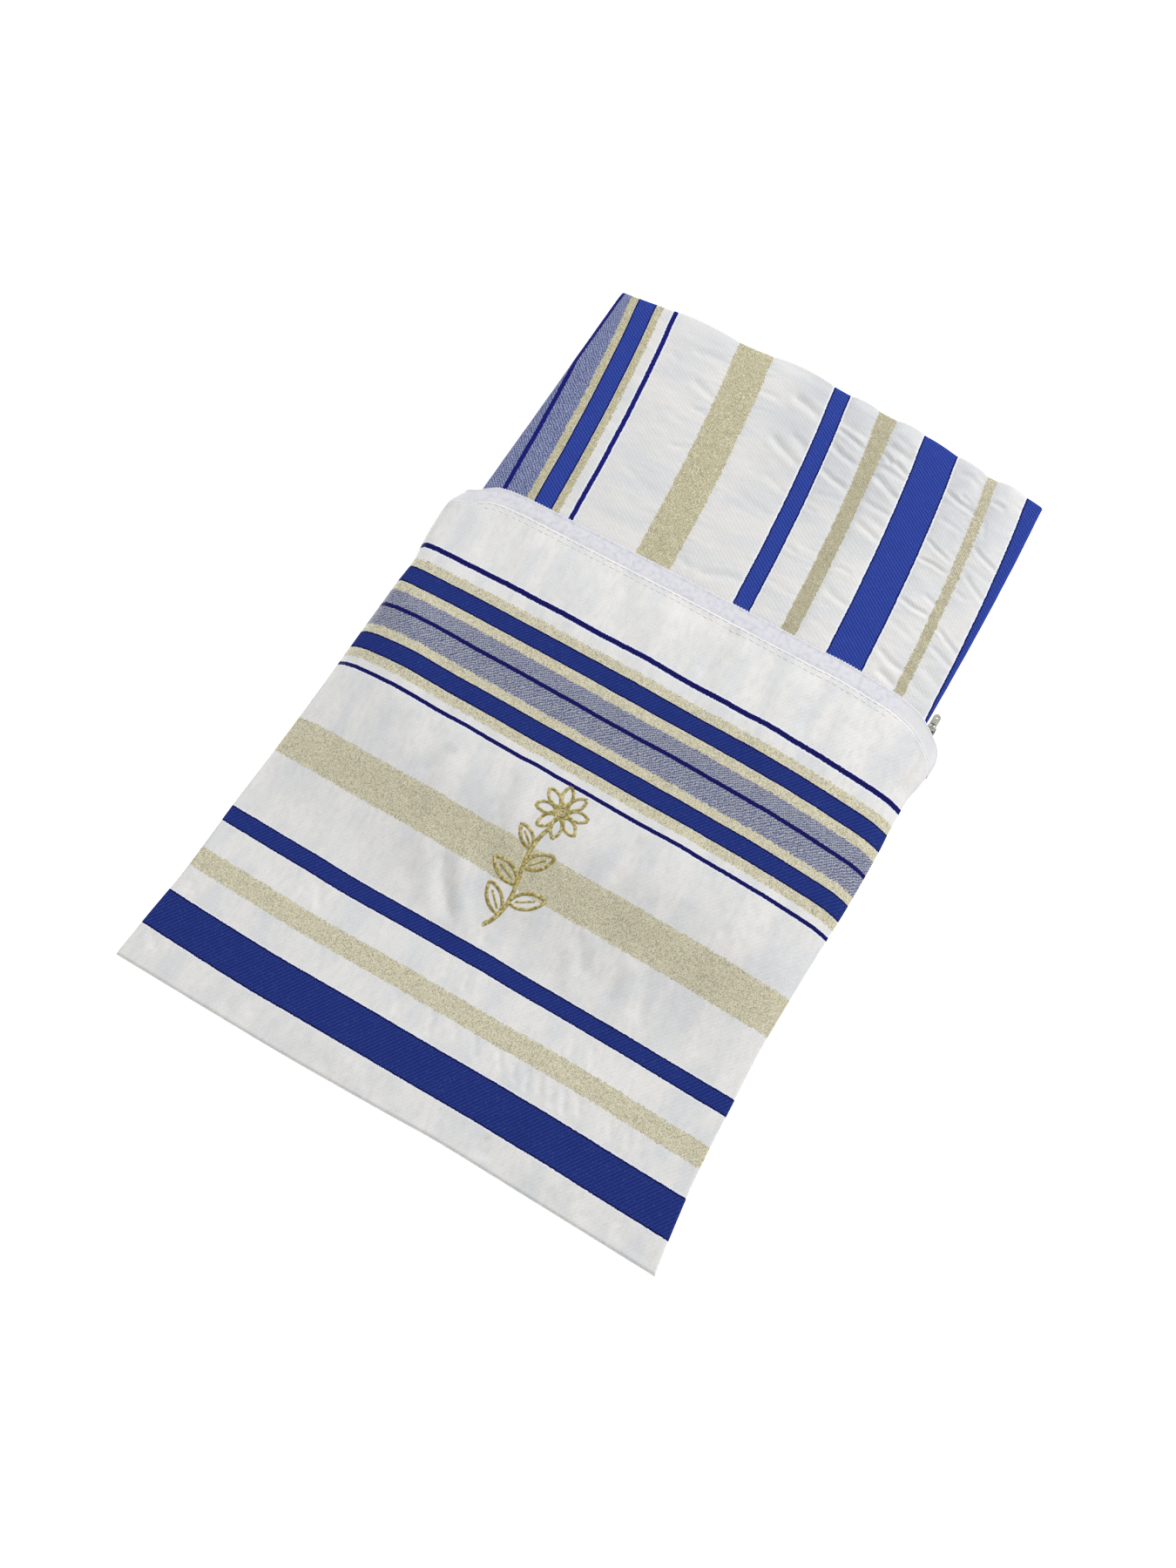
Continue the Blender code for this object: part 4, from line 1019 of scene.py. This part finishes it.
def build_scarf_folds(material):
    """The layers under the top leaf, with each fold's rounded lip all round."""
    across, along, way = rounded_plan()
    base = core_base(along)
    top = scarf_height(across, along) - LEAF_WALL - SEAM_GAP
    under_curl = top + LEAF_WALL - 2 * FOLD_RADIUS
    split = base + np.maximum(under_curl - base, LOWER_STACK_LEAST * (top - base))
    edge = np.divmod(rim(np.arange(across.size).reshape(across.shape)), across.shape[1])
    x, y, low, cut, high = (grid[edge] for grid in (across, along, base, split, top))
    way = unit(way[edge])
    sideways = way[:, 0] ** 2
    right_side = soft_step(way[:, 0], 0.3, 0.7)
    left_side = soft_step(-way[:, 0], 0.3, 0.7)
    travel = np.concatenate([[0], np.cumsum(np.hypot(np.diff(x), np.diff(y)))])
    random = np.random.default_rng(7)
    points = []
    uv = []
    for number in range(LOWER_LIPS + UPPER_LIPS):
        upper = number >= LOWER_LIPS
        if upper:
            foot, depth, k = cut, (high - cut) / UPPER_LIPS, number - LOWER_LIPS
        else:
            foot, depth, k = low, (cut - low) / LOWER_LIPS, number
        offset = 0.2 + 0.25 * noise(travel, 0 * travel, 26.0, 50 + number) + random.uniform(-0.1, 0.1)
        shift = random.uniform(-2.0, 2.0)
        for step in range(1 if number else 0, LIP_STEPS + 1):
            s = step / LIP_STEPS
            height = foot + depth * (k + s)
            round_in = LIP_ROUND * (1 - np.sqrt(max(0.0, 1 - (2 * s - 1) ** 2)))
            inset = 0.1 + round_in + offset
            if upper:
                inset = (inset + 0.25) * (1 - sideways) + (2.75 + 0.5 * round_in) * sideways
            points.append(np.stack([x - way[:, 0] * inset, y - way[:, 1] * inset, height], axis=1))
            # The folds at the sides show other parts of the pattern
            value = scarf_place(x, y) + 0.4 * shift
            value = value * (1 - right_side) + (194.6 + 1.6 * s + 0.7 * shift) * right_side
            value = value * (1 - left_side) + (-3.0 + 2.0 * s + 2.2 * shift) * left_side
            uv.append(np.stack([y + LIP_RUN * way[:, 1] * (high - height), value], axis=1))
    rings = np.arange(len(points) * len(x)).reshape(len(points), -1)
    faces = quads(np.column_stack([rings, rings[:, 0]])).tolist()
    inside = np.s_[1:-1, 1:-1]
    spots = across[inside].size
    for height, ring, order in ((base, rings[0], -1), (top, rings[-1], 1)):
        number = np.zeros(across.shape, int)
        number[edge] = ring
        number[inside] = sum(map(len, points)) + np.arange(spots).reshape(number[inside].shape)
        faces += quads(number)[:, ::order].tolist()
        points.append(np.stack([across, along, height], axis=2)[inside].reshape(-1, 3))
        uv.append(np.stack([along, scarf_place(across, along)], axis=2)[inside].reshape(-1, 2))
    mesh = new_mesh("scarf_fold_layers", np.concatenate(points), faces, np.concatenate(uv))
    return stand_in(mesh, material, "scarf_folds")


# Threads, teeth and embroidery lie on the cloth's own surface

EVERY_OTHER = slice(None, None, 2)
SPRAY_ROWS = slice(80, 210)
SPRAY_COLUMNS = slice(100, 200)
NEIGHBOURS = 4
NEIGHBOUR_GAP = 0.05


class Surface:
    """Height and facing of a fine grid of cloth, near a place in its plan."""

    def __init__(self, grid, rows, columns):
        self.points = grid[rows, columns].reshape(-1, 3)
        self.facing = normals(grid)[rows, columns].reshape(-1, 3)
        self.tree = KDTree(len(self.points))
        for k, point in enumerate(self.points):
            self.tree.insert((point[0], point[1], 0.0), k)
        self.tree.balance()

    def at(self, across, along):
        found = self.tree.find_n((across, along, 0.0), NEIGHBOURS)
        near = [k for _, k, _ in found]
        share = np.array([1.0 / (gap + NEIGHBOUR_GAP) for _, _, gap in found])
        height = share @ self.points[near, 2] / share.sum()
        return np.array([across, along, height]), unit(share @ self.facing[near])


THREAD_SIDES = 5
THREAD_RINGS = 4
THREAD_TIP = 0.6
THREAD_FLATNESS = 0.6


def add_threads(name, threads, material):
    """One piece of short threads arched over the cloth, each (start, end, up, radius, arch)."""
    start, end, up, radius, arch = (np.array(values) for values in zip(*threads))
    start, end, up = (points[:, None, None] for points in (start, end, up))
    radius, arch = (sizes[:, None, None, None] for sizes in (radius, arch))
    way = unit(end - start)
    side = unit(np.cross(way, up))
    top = np.cross(side, way)
    t = np.arange(THREAD_RINGS)[:, None, None] / (THREAD_RINGS - 1)
    turn = 2 * pi * np.arange(THREAD_SIDES)[:, None] / THREAD_SIDES + pi / 2
    centre = start * (1 - t) + end * t + top * arch * np.sin(pi * t)
    size = radius * (THREAD_TIP + (1 - THREAD_TIP) * np.sin(pi * t))
    points = centre + size * (side * np.cos(turn) + THREAD_FLATNESS * top * np.sin(turn))
    faces = []
    for rings in np.arange(points[..., 0].size).reshape(points.shape[:3]):
        faces += quads(np.column_stack([rings, rings[:, 0]]).T).tolist()
        faces += [rings[0].tolist(), rings[-1, ::-1].tolist()]
    return link_piece(new_mesh(name, points.reshape(-1, 3), faces), material)


STITCH_ROWS = table("inset stitch space radius first last",
    (0.9, 2.3, 0.75, 0.17, -97, 90), (3.1, 2.1, 0.95, 0.13, -94, 86))
ROW_ARCH = 0.05


def build_topstitch(surface, material):
    """Rows of stitches on the front panel, just under the zip tape."""
    random = np.random.default_rng(5)
    threads = []
    for row in STITCH_ROWS:
        at = row.first
        while at < row.last:
            length = row.stitch * random.uniform(0.9, 1.1)
            ends = []
            for across in (at, at + length):
                inset = row.inset + 0.12 * random.uniform(-1, 1)
                spot, up = surface.at(across, float(seam_line(across)) - inset)
                ends.append(spot + 0.02 * up)
            threads.append((*ends, up, row.radius, ROW_ARCH))
            at += length + row.space * random.uniform(0.8, 1.2)
    return add_threads("pouch_topstitch", threads, material)


TEETH_FIRST = -99.0
TEETH_LAST = 97.0
TOOTH_PITCH = 1.3
TOOTH_BACK = 0.75
TOOTH_OUT = 0.35
TOOTH_RADIUS = 0.34
TOOTH_ARCH = 0.1
TEETH_LIFT = 0.5


def build_teeth(name, material, height=None):
    """Coil teeth along one mouth edge of the open zip, over a surface's height if given."""
    threads = []
    across = TEETH_FIRST
    while across < TEETH_LAST:
        along = float(mouth_line(across))
        slope = float(mouth_line(across + 0.5) - mouth_line(across - 0.5))
        out = unit(np.array([-slope, 1.0, 0.0]))
        under = float(height(across, along)) if height else 0.0
        centre = np.array([across, along, under + TEETH_LIFT])
        ends = (centre - TOOTH_BACK * out, centre + TOOTH_OUT * out)
        threads.append((*ends, np.array([0.0, 0.0, 1.0]), TOOTH_RADIUS, TOOTH_ARCH))
        across += TOOTH_PITCH / np.hypot(slope, 1.0)
    return add_threads(name, threads, material)


def bezier(a, b, c, d, count):
    t = np.linspace(0, 1, count)[:, None]
    a, b, c, d = (np.array(point, float) for point in (a, b, c, d))
    return a * (1 - t) ** 3 + 3 * b * t * (1 - t) ** 2 + 3 * c * t ** 2 * (1 - t) + d * t ** 3


def turned(way, angle):
    """A plan direction, turned to the left by an angle."""
    return np.array([
        way[0] * cos(angle) - way[1] * sin(angle),
        way[0] * sin(angle) + way[1] * cos(angle),
    ])


# The embroidery's flower and leaves: shape in millimetres, and widths of their satin stitch
STEM = ((-3.5, 77.5), (7.0, 92.0), (-8.0, 105.0), (0.0, 121.0))
STEM_POINTS = 90
LEAF_POINTS = 24
LEAF_NEAR = (0.3, 0.72)
LEAF_FAR = (0.78, 0.5)
LEAF_VEIN = (0.18, 0.72)
SPRAY_LEAVES = table("share turn length width",
    (0.15, 62, 13, 6), (0.29, -60, 14, 6.4), (0.45, 58, 13.5, 6.2), (0.61, -56, 12.5, 5.8),
    (0.78, 52, 10, 4.8))
ROSETTE_CENTRE = np.array([0.4, 128.0])
ROSETTE_PETALS = 8
ROSETTE_TURN = 0.2
ROSETTE_HEART = 2.4
ROSETTE_REACH = 10.5
ROSETTE_WIDTH = 4.4
HEART_RINGS = (0.7, 1.9)
RING_POINTS = 40
STEM_STITCH = 1.6
LEAF_STITCH = 1.3
VEIN_STITCH = 0.8
PETAL_STITCH = 1.2
HEART_STITCH = 1.0


def leaf_lines(base, way, length, width):
    """The two curved sides and the vein of a leaf or petal."""
    side = turned(way, pi / 2)
    sides = []
    for turn in (-1, 1):
        near = base + way * LEAF_NEAR[0] * length + side * turn * width * LEAF_NEAR[1]
        far = base + way * LEAF_FAR[0] * length + side * turn * width * LEAF_FAR[1]
        sides.append(bezier(base, near, far, base + way * length, LEAF_POINTS))
    return sides, np.stack([base + way * share * length for share in LEAF_VEIN])


def spray_lines():
    """The embroidery's lines: an upright stem with leaves under a rosette; plan points and widths."""
    stem = bezier(*STEM, STEM_POINTS)
    lines = [(stem, STEM_STITCH)]
    slope = unit(np.gradient(stem, axis=0))
    for leaf in SPRAY_LEAVES:
        k = int(leaf.share * (len(stem) - 1))
        way = turned(slope[k], radians(leaf.turn))
        sides, vein = leaf_lines(stem[k], way, leaf.length, leaf.width)
        lines += [(side, LEAF_STITCH) for side in sides] + [(vein, VEIN_STITCH)]
    for petal in range(ROSETTE_PETALS):
        turn = 2 * pi * petal / ROSETTE_PETALS + ROSETTE_TURN
        way = np.array([cos(turn), sin(turn)])
        base = ROSETTE_CENTRE + ROSETTE_HEART * way
        sides, _ = leaf_lines(base, way, ROSETTE_REACH - ROSETTE_HEART, ROSETTE_WIDTH)
        lines += [(side, PETAL_STITCH) for side in sides]
    turns = np.linspace(0, 2 * pi, RING_POINTS)
    ring = np.stack([np.cos(turns), np.sin(turns)], axis=1)
    return lines + [(ROSETTE_CENTRE + reach * ring, HEART_STITCH) for reach in HEART_RINGS]


def point_at(line, travel, at):
    """The point a distance along a line of points."""
    return np.array([np.interp(at, travel, line[:, k]) for k in (0, 1)])


SATIN_START = 0.15
SATIN_STEP = 0.42
SATIN_LOOK = 0.5
SATIN_REACH = 0.62
SATIN_TURN = 62
SATIN_RADIUS = 0.19
SATIN_ARCH = 0.26


def build_embroidery(surface, material):
    """Satin stitches side by side along the spray's lines."""
    random = np.random.default_rng(9)
    threads = []
    for line, width in spray_lines():
        gaps = np.linalg.norm(np.diff(line, axis=0), axis=1)
        travel = np.concatenate([[0], np.cumsum(gaps)])
        at = SATIN_START
        while at < travel[-1]:
            spot = point_at(line, travel, at)
            ahead = point_at(line, travel, min(at + SATIN_LOOK, travel[-1]))
            way = unit(ahead - point_at(line, travel, max(at - SATIN_LOOK, 0.0)))
            cross = turned(way, radians(SATIN_TURN + random.uniform(-5, 5)))
            half = SATIN_REACH * width * random.uniform(0.92, 1.1)
            start, _ = surface.at(*(spot - half * cross))
            end, up = surface.at(*(spot + half * cross))
            threads.append((start, end, up, SATIN_RADIUS, SATIN_ARCH))
            at += SATIN_STEP * random.uniform(0.9, 1.1)
    return add_threads("pouch_embroidery", threads, material)


# Camera, lights and floor

CAMERA_LENS = 43.37
CAMERA_SENSOR = 36.0
CAMERA_PLACE = (0.1346, -0.2467, 0.6792)
CAMERA_AIM = (0.0004, -0.0252, 0.0)
ROOM_LIGHT = 0.408
LIGHT_AIM = (0, 0.03, 0)
LIGHTS = table("name place size energy",
    ("key", (0.50, 1.66, 1.44), 0.8, 36.5), ("fill", (-0.9, -0.4, 1.1), 1.2, 1.6))
FLOOR_REACH = 6.0
FLOOR_HEIGHT = -0.0002


def stage_set():
    scene = bpy.context.scene
    camera = bpy.data.cameras.new("camera")
    camera.lens = CAMERA_LENS
    camera.sensor_width = CAMERA_SENSOR
    scene.camera = add_object("camera", camera, CAMERA_PLACE, CAMERA_AIM)

    scene.world = bpy.data.worlds.new("studio")
    scene.world.use_nodes = True
    back = scene.world.node_tree.nodes["Background"]
    back.inputs["Color"].default_value = (1.0, 1.0, 1.0, 1.0)
    back.inputs["Strength"].default_value = ROOM_LIGHT
    for lamp in LIGHTS:
        light = bpy.data.lights.new(lamp.name, "AREA")
        light.shape = "SQUARE"
        light.size = lamp.size
        light.energy = lamp.energy
        add_object(lamp.name, light, lamp.place, LIGHT_AIM)

    corners = [(-FLOOR_REACH, -FLOOR_REACH, FLOOR_HEIGHT), (FLOOR_REACH, -FLOOR_REACH, FLOOR_HEIGHT),
               (FLOOR_REACH, FLOOR_REACH, FLOOR_HEIGHT), (-FLOOR_REACH, FLOOR_REACH, FLOOR_HEIGHT)]
    mesh = bpy.data.meshes.new("floor")
    mesh.from_pydata(corners, [], [(0, 1, 2, 3)])
    mesh.materials.append(Graph("floor").finish({
        "Base Color": 0.95, "Roughness": 0.9, "Specular IOR Level": 0.0,
        "Emission Color": 1.0, "Emission Strength": 0.6,
    }))
    add_object("floor", mesh)
    scene.view_settings.view_transform = "Standard"
    scene.view_settings.look = "None"
    scene.view_settings.exposure = 0.0


METAL_BEVEL = 0.00016


def finish_metal(node):
    """Rounds the metal's edges a little and gives it its finish."""
    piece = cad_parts[node]
    piece.data.materials.clear()
    piece.data.materials.append(brushed_metal(node + "_metal"))
    bevel = piece.modifiers.new("soft_edges", "BEVEL")
    bevel.width = METAL_BEVEL
    bevel.segments = 2
    bevel.limit_method = "ANGLE"


def main():
    pouch_material = striped_cloth("pouch_cloth", POUCH_TINTS, painted_shade=False)
    scarf_material = striped_cloth("scarf_cloth", SCARF_SHADED_TINTS, painted_shade=True)
    tape_material = tape_cloth("zip_tape_cloth")
    front, outer = build_pouch_front(pouch_material)
    back = build_pouch_back(pouch_material)
    tape_front = build_tape_front(tape_material)
    tape_back = build_tape_back(tape_material)
    leaf = build_scarf_top(scarf_material)
    layers = build_scarf_folds(scarf_material)
    panel = Surface(outer, EVERY_OTHER, EVERY_OTHER)
    spray = Surface(outer, SPRAY_ROWS, SPRAY_COLUMNS)
    white_thread = thread("white_thread", (0.93, 0.93, 0.95), (0.84, 0.84, 0.88), 0.5)
    # The gold thread's light patches are partly its own colour and partly painted highlight, for the
    # shine of metal thread
    gold_thread = thread("gold_thread", (0.93, 0.80, 0.36), (0.34, 0.275, 0.055), 0.36, grain=950.0)
    coil = thread("zip_coil", (0.80, 0.80, 0.83), (0.66, 0.66, 0.70), 0.35)
    topstitch = build_topstitch(panel, white_thread)
    embroidery = build_embroidery(spray, gold_thread)
    teeth_front = build_teeth("zip_teeth_front", coil, height=stuffed_height)
    teeth_back = build_teeth("zip_teeth_back", coil)
    finish_metal("zip_slider")
    finish_metal("zip_pull")


main()
stage_set()
